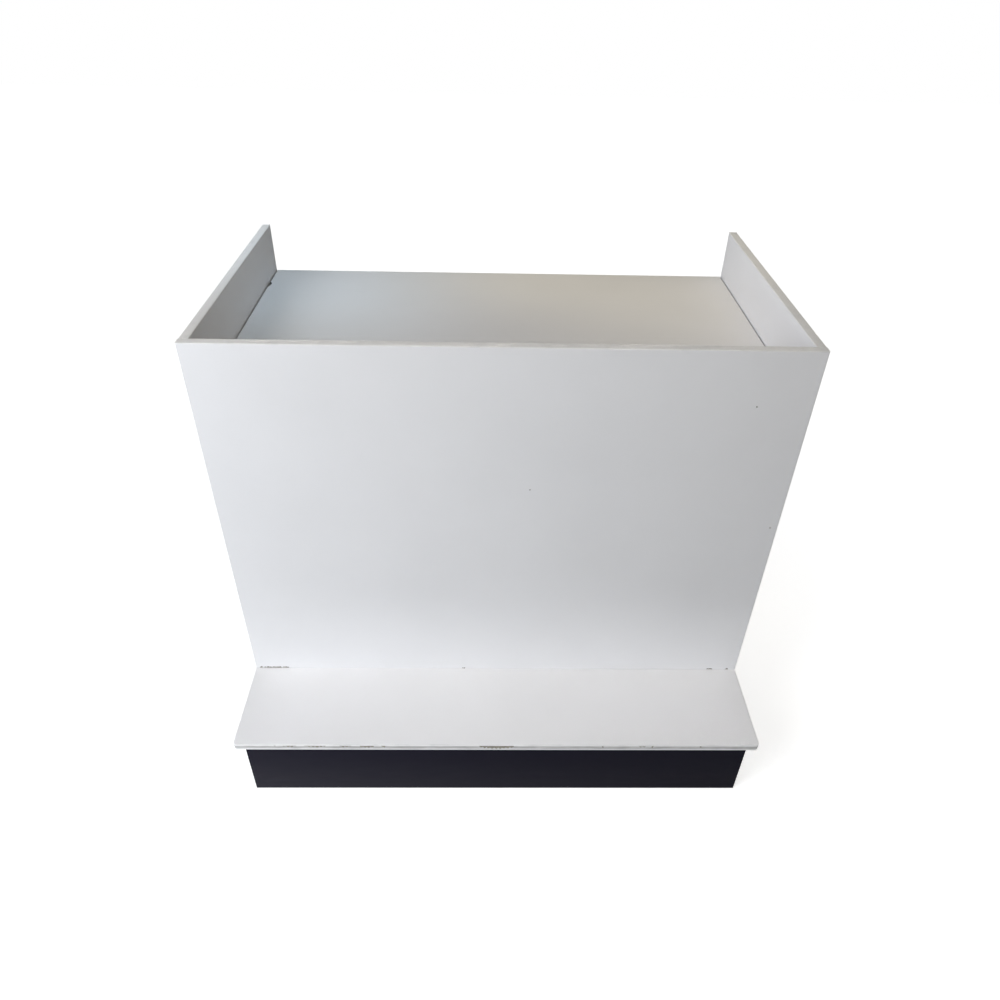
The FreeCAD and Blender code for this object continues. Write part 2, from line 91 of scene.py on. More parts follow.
def linear(colour: str) -> tuple[float, float, float, float]:
    """Turn an sRGB hex colour into linear light.

    Args:
        colour: A hash sign and six hex digits.

    Returns:
        Red, green and blue as linear values, and an alpha of 1.
    """
    levels = [int(colour[start:start + 2], 16) / 255 for start in (1, 3, 5)]
    light = [level / 12.92 if level <= 0.04045 else ((level + 0.055) / 1.055) ** 2.4 for level in levels]
    return (*light, 1.0)


def add_node(tree: Tree, kind: str, inputs: Inputs, **settings: object) -> bpy.types.Node:
    """Add one shader node with its settings, constants and links.

    Args:
        tree: The node tree to add to.
        kind: The node's type name.
        inputs: A constant, or an output socket to link, for each input by name or number.
        settings: Values for the node's own properties.

    Returns:
        The new node.
    """
    node = tree.nodes.new(kind)
    for name, value in settings.items():
        setattr(node, name, value)
    for key, value in inputs.items():
        if isinstance(value, bpy.types.NodeSocket):
            tree.links.new(value, node.inputs[key])
        else:
            node.inputs[key].default_value = value
    return node


def empty_tree(owner: bpy.types.Material | bpy.types.World) -> Tree:
    """Empty the nodes of a new material or world.

    Args:
        owner: The material or world.

    Returns:
        Its node tree.
    """
    owner.use_nodes = True
    owner.node_tree.nodes.clear()
    return owner.node_tree


@dataclass(frozen=True)
class Finish:
    """A finish: its name, its main colour and how rough its surface is."""

    name: str
    colour: str
    roughness: float

    def material(self) -> bpy.types.Material:
        """Make the material once, and give the same one again after that.

        Returns:
            The Blender material of this finish.
        """
        known = bpy.data.materials.get(self.name)
        if known:
            return known
        material = bpy.data.materials.new(self.name)
        tree = empty_tree(material)
        place = add_node(tree, "ShaderNodeTexCoord", {}).outputs["Object"]
        shader = add_node(tree, "ShaderNodeBsdfPrincipled", self.paint(tree, place))
        shader.inputs["Roughness"].default_value = self.roughness
        add_node(tree, "ShaderNodeOutputMaterial", {"Surface": shader.outputs["BSDF"]})
        return material

    def paint(self, tree: Tree, place: Socket) -> Inputs:
        """Work out colour, gloss and relief.

        Args:
            tree: The material's node tree.
            place: Object coordinates.

        Returns:
            Constants and links for the surface shader.
        """
        raise NotImplementedError


@dataclass(frozen=True)
class Patches:
    """Soft patches in a finish, drawn with noise: how wide they are and how much detail they have."""

    width: float
    detail: float
    # Levels of the noise between which a patch fades in, and the shares that it fades between.
    levels: Span
    shares: Span = (0.0, 1.0)
    distortion: float = 0.0

    def share(self, tree: Tree, place: Socket) -> Socket:
        """Work out how strongly the patches cover each place.

        Args:
            tree: The material's node tree.
            place: Object coordinates.

        Returns:
            The share that is covered.
        """
        noise = add_node(tree, "ShaderNodeTexNoise", {
            "Vector": place, "Scale": 1 / self.width, "Detail": self.detail, "Distortion": self.distortion})
        return add_node(tree, "ShaderNodeMapRange", {
            "Value": noise.outputs["Fac"], "From Min": self.levels[0], "From Max": self.levels[1],
            "To Min": self.shares[0], "To Max": self.shares[1]}).outputs[0]


@dataclass(frozen=True)
class Relief:
    """A fine uneven relief: how wide its bumps are, how strongly they show and how deep they are."""

    width: float
    strength: float
    depth: float

    def normal(self, tree: Tree, place: Socket) -> Socket:
        """Work out which way the uneven surface faces.

        Args:
            tree: The material's node tree.
            place: Object coordinates.

        Returns:
            The surface's direction.
        """
        noise = add_node(tree, "ShaderNodeTexNoise", {"Vector": place, "Scale": 1 / self.width})
        return add_node(tree, "ShaderNodeBump", {
            "Height": noise.outputs["Fac"], "Strength": self.strength, "Distance": self.depth}).outputs[0]


@dataclass(frozen=True)
class LaminatedBoard(Finish):
    """Melamine-faced chipboard, pressed: a white skin on two faces and raw chips between them."""

    axis: Axis
    low: float
    high: float
    clouded: str = "#F2F2F4"
    clouds: Patches = Patches(260 * MM, 4.0, (0.4, 0.7))
    # The core tones are darker than fresh chipboard: partly dust, partly painted shade for the bores and
    # broken edges.
    core_light: str = "#7E6C52"
    core_dark: str = "#3A3027"
    skin: float = 0.25 * MM
    chip: float = 2.5 * MM
    pearl: Relief = Relief(4 * MM, 0.04, 0.2 * MM)
    gloss_spread: float = 0.05

    def paint(self, tree: Tree, place: Socket) -> Inputs:
        """Work out the board's colour, gloss and relief.

        Args:
            tree: The material's node tree.
            place: Object coordinates.

        Returns:
            Constants and links for the surface shader.
        """
        # The resin paper gives an even cool white with a soft sheen, and handling leaves faint clouds.
        white = add_node(tree, "ShaderNodeMix", {
            0: self.clouds.share(tree, place), 6: linear(self.colour), 7: linear(self.clouded)},
            data_type="RGBA")
        # Between the skins the board is pressed wood chips, which show in bores and in broken edges, in
        # tones darkened by dust and by painted shade.
        chips = add_node(tree, "ShaderNodeTexVoronoi", {"Vector": place, "Scale": 1 / self.chip})
        core = add_node(tree, "ShaderNodeMix", {
            0: chips.outputs["Color"], 6: linear(self.core_dark), 7: linear(self.core_light)},
            data_type="RGBA")
        parts = add_node(tree, "ShaderNodeSeparateXYZ", {"Vector": place})
        offset = add_node(tree, "ShaderNodeMath", {
            0: parts.outputs[self.axis.value], 1: (self.low + self.high) / 2}, operation="SUBTRACT")
        depth = add_node(tree, "ShaderNodeMath", {0: offset.outputs[0]}, operation="ABSOLUTE")
        is_core = add_node(tree, "ShaderNodeMath", {
            0: depth.outputs[0], 1: (self.high - self.low) / 2 - self.skin}, operation="LESS_THAN")
        tone = add_node(tree, "ShaderNodeMix", {
            0: is_core.outputs[0], 6: white.outputs[2], 7: core.outputs[2]}, data_type="RGBA")
        # The press plate's pearl is half a millimetre wide, drawn eight times as coarse so that it shows.
        pearl = add_node(tree, "ShaderNodeTexNoise", {"Vector": place, "Scale": 1 / self.pearl.width})
        gloss = add_node(tree, "ShaderNodeMapRange", {
            "Value": pearl.outputs["Fac"], "To Min": self.roughness - self.gloss_spread,
            "To Max": self.roughness + self.gloss_spread})
        rough = add_node(tree, "ShaderNodeMath", {0: gloss.outputs[0], 1: is_core.outputs[0]},
                         operation="MAXIMUM")
        return {"Base Color": tone.outputs[2], "Roughness": rough.outputs[0],
                "Normal": self.pearl.normal(tree, place)}


@dataclass(frozen=True)
class EdgeBand(Finish):
    """ABS edging, extruded: a plain white strip, a little glossier than the board."""

    rubbed: str = "#DBDCDD"
    rubs: Patches = Patches(45 * MM, 5.0, (0.5, 0.75), (0.0, 0.6))
    # The die's ripple is finer than a millimetre, drawn coarser so that it shows.
    ripple: Relief = Relief(3 * MM, 0.05, 0.2 * MM)

    def paint(self, tree: Tree, place: Socket) -> Inputs:
        """Work out the edging's colour and relief.

        Args:
            tree: The material's node tree.
            place: Object coordinates.

        Returns:
            Constants and links for the surface shader.
        """
        # Extruded plastic shows soft long highlights, and its arrises are rubbed a little grey in places.
        tone = add_node(tree, "ShaderNodeMix", {
            0: self.rubs.share(tree, place), 6: linear(self.colour), 7: linear(self.rubbed)},
            data_type="RGBA")
        return {"Base Color": tone.outputs[2], "Normal": self.ripple.normal(tree, place)}


@dataclass(frozen=True)
class WornBand(EdgeBand):
    """The ledge's edging, with a grey band drawn along its upper half and broken through in places."""

    front: float = 0.0
    top: float = 0.0
    straight: float = 0.0
    facing_depth: float = 3 * MM
    mark_tone: str = "#9C9B9A"
    grey_patches: Patches = Patches(30 * MM, 4.0, (0.35, 0.65), (0.45, 0.75))
    mark_stretch: Triple = (1.0, 1.0, 6.0)
    grey_top: float = 4.5 * MM
    grey_foot: float = 15 * MM
    grey_fade: float = 1.5 * MM
    bared_light: str = "#A19D8B"
    bared_dark: str = "#77736A"
    bared_behind: float = 0.35 * MM
    bared_below: float = 1.6 * MM
    grit: float = 3 * MM

    def paint(self, tree: Tree, place: Socket) -> Inputs:
        """Work out the worn edging's colour and relief.

        Args:
            tree: The material's node tree.
            place: Object coordinates.

        Returns:
            Constants and links for the surface shader.
        """
        inputs = super().paint(tree, place)
        parts = add_node(tree, "ShaderNodeSeparateXYZ", {"Vector": place})
        below = add_node(tree, "ShaderNodeMath", {0: self.top, 1: parts.outputs[2]},
                         operation="SUBTRACT").outputs[0]
        behind = add_node(tree, "ShaderNodeMath", {0: parts.outputs[1], 1: self.front},
                          operation="SUBTRACT").outputs[0]
        facing = add_node(tree, "ShaderNodeMath", {0: behind, 1: self.facing_depth}, operation="LESS_THAN")
        # A grey band is drawn on the upper half of the edge, streaked along its length.
        stretch = add_node(tree, "ShaderNodeMapping", {"Vector": place, "Scale": self.mark_stretch})
        upper = add_node(tree, "ShaderNodeMapRange", {
            "Value": below, "From Min": self.grey_foot, "From Max": self.grey_foot - self.grey_fade})
        edge = add_node(tree, "ShaderNodeMapRange", {
            "Value": below, "From Min": self.grey_top, "From Max": self.grey_top + self.grey_fade})
        # Where the edging is broken away the dusty board behind it shows, drab and matt.
        grit = add_node(tree, "ShaderNodeTexVoronoi", {"Vector": place, "Scale": 1 / self.grit})
        bare = add_node(tree, "ShaderNodeMix", {
            0: grit.outputs["Color"], 6: linear(self.bared_dark), 7: linear(self.bared_light)},
            data_type="RGBA")
        deep = add_node(tree, "ShaderNodeMath", {0: behind, 1: self.bared_behind}, operation="GREATER_THAN")
        low = add_node(tree, "ShaderNodeMath", {0: below, 1: self.bared_below}, operation="GREATER_THAN")
        sideways = add_node(tree, "ShaderNodeMath", {0: parts.outputs[0]}, operation="ABSOLUTE")
        on_run = add_node(tree, "ShaderNodeMath", {0: sideways.outputs[0], 1: self.straight},
                          operation="LESS_THAN")
        # Each mark, the grey band and the bared board, lies where all of its limits hold, over what lies
        # there already.
        tone = inputs["Base Color"]
        for wear, share, limits in (
                (linear(self.mark_tone), self.grey_patches.share(tree, stretch.outputs[0]), (upper, edge, facing)),
                (bare.outputs[2], deep.outputs[0], (low, on_run, facing))):
            for limit in limits:
                share = add_node(tree, "ShaderNodeMath", {0: share, 1: limit.outputs[0]},
                                 operation="MULTIPLY").outputs[0]
            tone = add_node(tree, "ShaderNodeMix", {0: share, 6: tone, 7: wear},
                            data_type="RGBA").outputs[2]
        return {**inputs, "Base Color": tone}


@dataclass(frozen=True)
class BlackBoard(Finish):
    """Black melamine-faced board, pressed: a satin plinth that shoes and mops have touched."""

    mark_tone: str = "#2C2C31"
    scuff: float = 60 * MM
    mark_stretch: Triple = (1.0, 1.0, 3.0)
    scuff_detail: float = 8.0
    scuff_harshness: float = 0.7
    scuff_levels: Span = (0.5, 0.7)
    scuff_most: float = 0.8
    scuff_height: float = 45 * MM
    gloss_range: Span = (-0.08, 0.12)
    specular: float = 0.038
    # The pearl of the press plate is drawn about five times as coarse as it is.
    pearl: Relief = Relief(3 * MM, 0.06, 0.2 * MM)

    def paint(self, tree: Tree, place: Socket) -> Inputs:
        """Work out the black board's colour, gloss and relief.

        Args:
            tree: The material's node tree.
            place: Object coordinates.

        Returns:
            Constants and links for the surface shader.
        """
        # A satin black mirrors the floor softly, and dull scuffs gather along its foot.
        stretch = add_node(tree, "ShaderNodeMapping", {"Vector": place, "Scale": self.mark_stretch})
        marks = add_node(tree, "ShaderNodeTexNoise", {
            "Vector": stretch.outputs[0], "Scale": 1 / self.scuff, "Detail": self.scuff_detail,
            "Roughness": self.scuff_harshness})
        share = add_node(tree, "ShaderNodeMapRange", {
            "Value": marks.outputs["Fac"], "From Min": self.scuff_levels[0],
            "From Max": self.scuff_levels[1], "To Max": self.scuff_most})
        parts = add_node(tree, "ShaderNodeSeparateXYZ", {"Vector": place})
        foot = add_node(tree, "ShaderNodeMapRange", {
            "Value": parts.outputs[2], "From Min": self.scuff_height, "From Max": 0.0})
        worn = add_node(tree, "ShaderNodeMath", {0: share.outputs[0], 1: foot.outputs[0]},
                        operation="MULTIPLY")
        tone = add_node(tree, "ShaderNodeMix", {
            0: worn.outputs[0], 6: linear(self.colour), 7: linear(self.mark_tone)}, data_type="RGBA")
        rough = add_node(tree, "ShaderNodeMapRange", {
            "Value": marks.outputs["Fac"], "To Min": self.roughness + self.gloss_range[0],
            "To Max": self.roughness + self.gloss_range[1]})
        return {"Base Color": tone.outputs[2], "Roughness": rough.outputs[0],
                "Normal": self.pearl.normal(tree, place), "Specular IOR Level": self.specular}


@dataclass(frozen=True)
class Timber(Finish):
    """Wood, sawn and planed: pale early wood and darker late wood in streaks along the grain."""

    grain: Axis
    late: str
    rings: Patches
    stretch: float = 0.06
    fibres: Relief = Relief(0.8 * MM, 0.2, 0.2 * MM)

    def paint(self, tree: Tree, place: Socket) -> Inputs:
        """Work out the wood's colour and relief.

        Args:
            tree: The material's node tree.
            place: Object coordinates.

        Returns:
            Constants and links for the surface shader.
        """
        # Planed wood shows long streaks along the grain and a dull, slightly fibrous surface.
        squeeze = tuple(self.stretch if index == self.grain.value else 1.0 for index in range(3))
        lengthwise = add_node(tree, "ShaderNodeMapping", {"Vector": place, "Scale": squeeze}).outputs[0]
        tone = add_node(tree, "ShaderNodeMix", {
            0: self.rings.share(tree, lengthwise), 6: linear(self.colour), 7: linear(self.late)},
            data_type="RGBA")
        return {"Base Color": tone.outputs[2], "Normal": self.fibres.normal(tree, lengthwise)}


@dataclass(frozen=True)
class Metal(Finish):
    """Zinc, plated on steel or die cast: a clouded grey shine."""

    clouded: str
    cloud: float
    grain: float
    relief: float
    relief_depth: float = 0.1 * MM
    cloud_detail: float = 4.0
    gloss_spread: float = 0.1

    def paint(self, tree: Tree, place: Socket) -> Inputs:
        """Work out the metal's colour, gloss and relief.

        Args:
            tree: The material's node tree.
            place: Object coordinates.

        Returns:
            Constants and links for the surface shader.
        """
        # Zinc has a cool grey shine that clouds over unevenly, and a fine crystalline skin.
        clouds = add_node(tree, "ShaderNodeTexNoise", {
            "Vector": place, "Scale": 1 / self.cloud, "Detail": self.cloud_detail})
        tone = add_node(tree, "ShaderNodeMix", {
            0: clouds.outputs["Fac"], 6: linear(self.colour), 7: linear(self.clouded)}, data_type="RGBA")
        rough = add_node(tree, "ShaderNodeMapRange", {
            "Value": clouds.outputs["Fac"], "To Min": self.roughness - self.gloss_spread,
            "To Max": self.roughness + self.gloss_spread})
        crystals = add_node(tree, "ShaderNodeTexVoronoi", {"Vector": place, "Scale": 1 / self.grain})
        relief = add_node(tree, "ShaderNodeBump", {
            "Height": crystals.outputs["Distance"], "Strength": self.relief, "Distance": self.relief_depth})
        return {"Base Color": tone.outputs[2], "Roughness": rough.outputs[0], "Normal": relief.outputs[0],
                "Metallic": 1.0}


@dataclass(frozen=True)
class MouldedPlastic(Finish):
    """Injection-moulded plastic: one colour through, with the mould's fine spark texture."""

    dusty: str
    dust: Patches = Patches(9 * MM, 3.0, (0.45, 0.8), (0.0, 0.5))
    spark: Relief = Relief(0.7 * MM, 0.15, 0.1 * MM)

    def paint(self, tree: Tree, place: Socket) -> Inputs:
        """Work out the plastic's colour and relief.

        Args:
            tree: The material's node tree.
            place: Object coordinates.

        Returns:
            Constants and links for the surface shader.
        """
        # The mould leaves a fine even texture, and dust settles on it in soft patches.
        tone = add_node(tree, "ShaderNodeMix", {
            0: self.dust.share(tree, place), 6: linear(self.colour), 7: linear(self.dusty)},
            data_type="RGBA")
        return {"Base Color": tone.outputs[2], "Normal": self.spark.normal(tree, place)}


WHITE_EDGING = EdgeBand("white_ABS_edging_extruded", "#F4F4F4", 0.26)
BLACK_LAMINATE = BlackBoard("black_melamine_board_pressed", "#1C1B27", 0.5)
PINE_RINGS = Patches(6 * MM, 3.0, (0.42, 0.66), distortion=0.4)
BEECH_RINGS = replace(PINE_RINGS, width=2.5 * MM)
BEECH = Timber("beech_dowel_turned", "#D8B58C", 0.55, Axis.Z, "#C49A6C", BEECH_RINGS)
PLATED_STEEL = Metal("zinc_plated_steel_rolled", "#C3C7CC", 0.32, "#A9ADB0", 14 * MM, 0.8 * MM, 0.08)
CAST_ZINC = Metal("zinc_alloy_die_cast", "#9EA1A4", 0.45, "#86898C", 6 * MM, 0.6 * MM, 0.25)
WHITE_PLASTIC = MouldedPlastic("white_polyethylene_moulded", "#E4E5E4", 0.42, "#D0D0CD")
BLACK_PLASTIC = MouldedPlastic("black_polypropylene_moulded", "#141416", 0.48, "#3A3A3A")


def pine(grain: Axis) -> Timber:
    """Planed pine with its grain along an axis."""
    return Timber("pine_planed_along_" + grain.name.lower(), "#DDBE90", 0.6, grain, "#BF9259", PINE_RINGS)


def board_finish(node: str, axis: Axis) -> LaminatedBoard:
    """Laminated board whose skins lie on a node's two faces across an axis.

    Args:
        node: The board's node.
        axis: The axis across the board's thickness.

    Returns:
        The finish of that board.
    """
    low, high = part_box(node)
    return LaminatedBoard("white_melamine_chipboard_" + node, "#F5F5F7", 0.5, axis,
                          low[axis.value], high[axis.value])


def corners_of(points: list[Vector]) -> Corners:
    """Find the box round some points.

    Args:
        points: The points.

    Returns:
        Its lowest and highest corners.
    """
    low = Vector([min(point[index] for point in points) for index in range(3)])
    high = Vector([max(point[index] for point in points) for index in range(3)])
    return low, high


def merged_copy(node: str) -> Shape:
    """Copy a node's mesh and join its loose triangles.

    Args:
        node: The node to copy.

    Returns:
        The copy.
    """
    shape = bmesh.new()
    shape.from_mesh(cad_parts[node].data)
    bmesh.ops.remove_doubles(shape, verts=shape.verts, dist=TOUCH)
    return shape


def islands(shape: Shape) -> list[list[Vertex]]:
    """Find the separate islands of a shape.

    Args:
        shape: The shape to look through.

    Returns:
        The vertices of each island, in the order in which they are met.
    """
    seen: set[Vertex] = set()
    groups = []
    for start in shape.verts:
        if start in seen:
            continue
        seen.add(start)
        front = [start]
        group = []
        while front:
            vertex = front.pop()
            group.append(vertex)
            near = [edge.other_vert(vertex) for edge in vertex.link_edges]
            fresh = [other for other in near if other not in seen]
            seen.update(fresh)
            front.extend(fresh)
        groups.append(group)
    return groups


def solids(node: str) -> list[list[Vector]]:
    """Tell a node's solids apart.

    Args:
        node: The node to read.

    Returns:
        The points of each of its solids.
    """
    shape = merged_copy(node)
    groups = [[vertex.co.copy() for vertex in group] for group in islands(shape)]
    shape.free()
    return groups


def mesh_of(shape: Shape, name: str) -> bpy.types.Mesh:
    """Turn a shape into a mesh.

    Args:
        shape: The shape. It is used up.
        name: The mesh's name.

    Returns:
        The mesh.
    """
    mesh = bpy.data.meshes.new(name)
    shape.to_mesh(mesh)
    shape.free()
    return mesh


def put_in_scene(name: str, data: bpy.types.ID) -> bpy.types.Object:
    """Put a mesh, a lamp or a lens into the scene.

    Args:
        name: The new object's name.
        data: What the object holds.

    Returns:
        The object.
    """
    item = bpy.data.objects.new(name, data)
    bpy.context.scene.collection.objects.link(item)
    return item


def carve(body: Shape, cutter: Shape) -> Shape:
    """Cut one closed shape out of another.

    Args:
        body: The shape that is cut. It is used up.
        cutter: The shape that is taken away. It is used up.

    Returns:
        What is left of the body.
    """
    objects = []
    for name, shape in (("body_under_way", body), ("cutter_under_way", cutter)):
        objects.append(put_in_scene(name, mesh_of(shape, name)))
    cut = objects[0].modifiers.new("cut", "BOOLEAN")
    cut.operation = "DIFFERENCE"
    cut.solver = "EXACT"
    cut.use_self = True
    cut.object = objects[1]
    graph = bpy.context.evaluated_depsgraph_get()
    result = bmesh.new()
    result.from_object(objects[0], graph)
    for made in objects:
        mesh = made.data
        bpy.data.objects.remove(made)
        bpy.data.meshes.remove(mesh)
    return result


@dataclass(frozen=True)
class Seat:
    """Where a fastening sits: the middle of its outer face, the way in and its length."""

    point: Vector
    inward: Vector
    length: float

    def matrix(self) -> Matrix:
        """Move from a shape made at the origin along +Z to this seat."""
        return Matrix.Translation(self.point) @ UP.rotation_difference(self.inward).to_matrix().to_4x4()


def seats(node: str, flat: bool = False) -> list[Seat]:
    """Read from a node where each of its fastenings sits.

    Args:
        node: A node of like turned solids.
        flat: Whether their axis is their shortest side, as on a cap, and not their longest.

    Returns:
        One seat for each solid, its outer face being the wider end.
    """
    found = []
    for points in solids(node):
        low, high = corners_of(points)
        size = high - low
        axis = sorted(range(3), key=lambda index: size[index])[0 if flat else 2]
        middle = (low + high) / 2
        spreads = []
        for end in (low, high):
            ring = [point for point in points if abs(point[axis] - end[axis]) < TOUCH]
            middle[axis] = end[axis]
            spreads.append(max((point - middle).length for point in ring))
        sign = 1 if spreads[0] > spreads[1] else -1
        middle[axis] = low[axis] if sign > 0 else high[axis]
        found.append(Seat(middle, Axis(axis).vector() * sign, size[axis]))
    return found


def turned(profile: list[Span], steps: int) -> Shape:
    """Turn an outline about Z.

    Args:
        profile: Radius and height of each corner, from the axis back to the axis.
        steps: How many sides the turned piece has.

    Returns:
        A closed turned shape.
    """
    shape = bmesh.new()
    ring = [shape.verts.new((radius, 0, height)) for radius, height in profile]
    edges = [shape.edges.new(pair) for pair in zip(ring, ring[1:])]
    bmesh.ops.spin(shape, geom=ring + edges, cent=(0, 0, 0), axis=UP, angle=math.tau, steps=steps,
                   use_merge=True)
    bmesh.ops.remove_doubles(shape, verts=shape.verts, dist=TOUCH)
    bmesh.ops.recalc_face_normals(shape, faces=shape.faces)
    return shape


@dataclass(frozen=True)
class Thread:
    """A screw thread: radius of its shank and of its crest, rise of one turn and steps in one turn."""

    root: float
    crest: float
    pitch: float
    sides: int
    # The ridge starts a little inside the shank, and its crest and far foot are shares of the pitch.
    sunk: float = 0.94
    crest_at: float = 0.4
    foot_at: float = 0.8

    def wind(self, shape: Shape, start: float, end: float) -> None:
        """Wind the ridge round a shank along +Z.

        Args:
            shape: The shape that holds the shank.
            start: The height where the thread starts.
            end: The height where it ends.
        """
        foot = self.root * self.sunk
        corners = [(foot, start), (self.crest, start + self.pitch * self.crest_at),
                   (foot, start + self.pitch * self.foot_at)]
        ring = [shape.verts.new((radius, 0, height)) for radius, height in corners]
        edges = [shape.edges.new((ring[index - 1], ring[index])) for index in range(len(ring))]
        turns = (end - start - self.pitch) / self.pitch
        steps = round(turns * self.sides)
        tip = bmesh.ops.spin(shape, geom=ring + edges, cent=(0, 0, 0), axis=UP,
                             dvec=UP * (self.pitch / self.sides), angle=math.tau * steps / self.sides,
                             steps=steps, use_merge=False)["geom_last"]
        shape.faces.new(ring)
        shape.faces.new([item for item in tip if isinstance(item, Vertex)])


def repeated(master: Shape, places: list[Matrix]) -> Shape:
    """Set a copy of a shape at each place.

    Args:
        master: The shape to copy. It is used up.
        places: Where the copies go.

    Returns:
        One shape with all the copies.
    """
    mesh = mesh_of(master, "master_under_way")
    group = bmesh.new()
    for place in places:
        count = len(group.verts)
        group.from_mesh(mesh)
        group.verts.ensure_lookup_table()
        bmesh.ops.transform(group, matrix=place, verts=group.verts[count:])
    bpy.data.meshes.remove(mesh)
    return group


def make_piece(shape: Shape, name: str, nodes: list[str], finish: Finish, body: str,
               smooth_deg: float = SMOOTH_DEG) -> None:
    """Turn a finished shape into a piece that stands for construction nodes.

    Args:
        shape: The shape, in place. It is used up.
        name: The piece's name.
        nodes: The nodes that it stands for.
        finish: What it is made of.
        body: The body that it moves with.
        smooth_deg: Edges sharper than this stay sharp.
    """
    bmesh.ops.recalc_face_normals(shape, faces=shape.faces)
    mesh = mesh_of(shape, name)
    mesh.polygons.foreach_set("use_smooth", [True] * len(mesh.polygons))
    mesh.set_sharp_from_angle(angle=math.radians(smooth_deg))
    mesh.materials.append(finish.material())
    piece = put_in_scene(name, mesh)
    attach(piece, body)
    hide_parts(*nodes)
    logging.info("%s: %d faces, for %s", name, len(mesh.polygons), ", ".join(nodes))


def dress(node: str, finish: Finish) -> None:
    """Give a construction node its finish.

    Args:
        node: The node, whose own mesh stays.
        finish: What it is made of.
    """
    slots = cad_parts[node].data.materials
    slots.clear()
    slots.append(finish.material())
    logging.info("%s: dressed as %s", node, finish.name)


@dataclass
class EdgeBands:
    """Straight edging strips glued to the edges of one board."""

    node: str
    board: str
    body: Body
    arris: float = 1.9 * MM
    arris_steps: int = 6
    seam: float = 0.08 * MM

    def strip(self, shape: Shape, box: Corners) -> None:
        """Add one strip with its two long outer arrises rounded.

        Args:
            shape: The shape to add to.
            box: The strip's lowest and highest corners.
        """
        low, high = box
        size = high - low
        order = sorted(range(3), key=lambda index: size[index])
        thin, lengthways = order[0], order[2]
        size[lengthways] -= 2 * self.seam
        middle = (low + high) / 2
        added = bmesh.ops.create_cube(shape, size=1.0, matrix=Matrix.LocRotScale(middle, None, size))
        board_low, board_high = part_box(self.board)
        sign = math.copysign(1, middle[thin] - (board_low[thin] + board_high[thin]) / 2)
        outer = [vertex for vertex in added["verts"] if (vertex.co[thin] - middle[thin]) * sign > 0]
        edges = {edge for vertex in outer for edge in vertex.link_edges
                 if edge.other_vert(vertex) in outer
                 and abs(edge.verts[0].co[lengthways] - edge.verts[1].co[lengthways]) > TOUCH}
        bmesh.ops.bevel(shape, geom=list(edges), offset=self.arris, segments=self.arris_steps, profile=0.5,
                        affect="EDGES", material=-1)

    def build(self) -> None:
        """Make the strips as one piece."""
        shape = bmesh.new()
        for points in solids(self.node):
            self.strip(shape, corners_of(points))
        make_piece(shape, self.node + "_strips", [self.node], WHITE_EDGING, self.body.value)


@dataclass
class Chip:
    """A broken patch on a board: its middle, its half sizes and how many bites make it."""

    middle: Triple
    half: Triple
    bites: int


@dataclass
class ChippedBoard:
    """A board that shows breaks in its skin, cut out of the bored board of the construction."""

    node: str
    axis: Axis
    chips: list[Chip]
    seed: int
    overlap: float = 1.2
    size_range: Span = (0.75, 1.1)
    jitter: float = 0.25
    draw_in: float = 0.0
    lift: float = 0.0
    core: tuple[str, str] = (LaminatedBoard.core_light, LaminatedBoard.core_dark)
    facet_deg: float = 1.0

    def cutter(self) -> Shape:
        """Ragged blobs that bite the chips out.

        Returns:
            One shape with all the blobs.
        """
        draw = random.Random(self.seed)
        shape = bmesh.new()
        for chip in self.chips:
            for bite in range(chip.bites):
                share = (bite + 0.5) / chip.bites * 2 - 1
                middle = Vector(chip.middle) + Axis.X.vector() * (share * chip.half[0])
                half = Vector(chip.half)
                half.x *= self.overlap / chip.bites
                half *= draw.uniform(*self.size_range)
                blob = bmesh.ops.create_icosphere(shape, subdivisions=2, radius=1.0,
                                                  matrix=Matrix.LocRotScale(middle, None, half))
                for vertex in blob["verts"]:
                    push = Vector([draw.uniform(-1, 1) * size for size in half]) * self.jitter
                    vertex.co += push
        return shape

    def build(self) -> None:
        """Make the broken board."""
        shape = merged_copy(self.node)
        low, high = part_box(self.node)
        for vertex in shape.verts:
            for end, inward in ((low.x, 1), (high.x, -1)):
                if abs(vertex.co.x - end) < TOUCH:
                    vertex.co.x = end + inward * self.draw_in
            if abs(vertex.co.z - low.z) < TOUCH:
                vertex.co.z = low.z + self.lift
        shape = carve(shape, self.cutter())
        bmesh.ops.dissolve_limit(shape, angle_limit=FLAT, verts=shape.verts, edges=shape.edges)
        bmesh.ops.dissolve_degenerate(shape, dist=TOUCH, edges=shape.edges)
        # A cut can leave a loose crumb, which is taken away.
        for crumb in sorted(islands(shape), key=len)[:-1]:
            bmesh.ops.delete(shape, geom=crumb, context="VERTS")
        light, dark = self.core
        finish = replace(board_finish(self.node, self.axis), core_light=light, core_dark=dark)
        make_piece(shape, self.node + "_board", [self.node], finish, Body.CARCASS.value,
                   self.facet_deg)


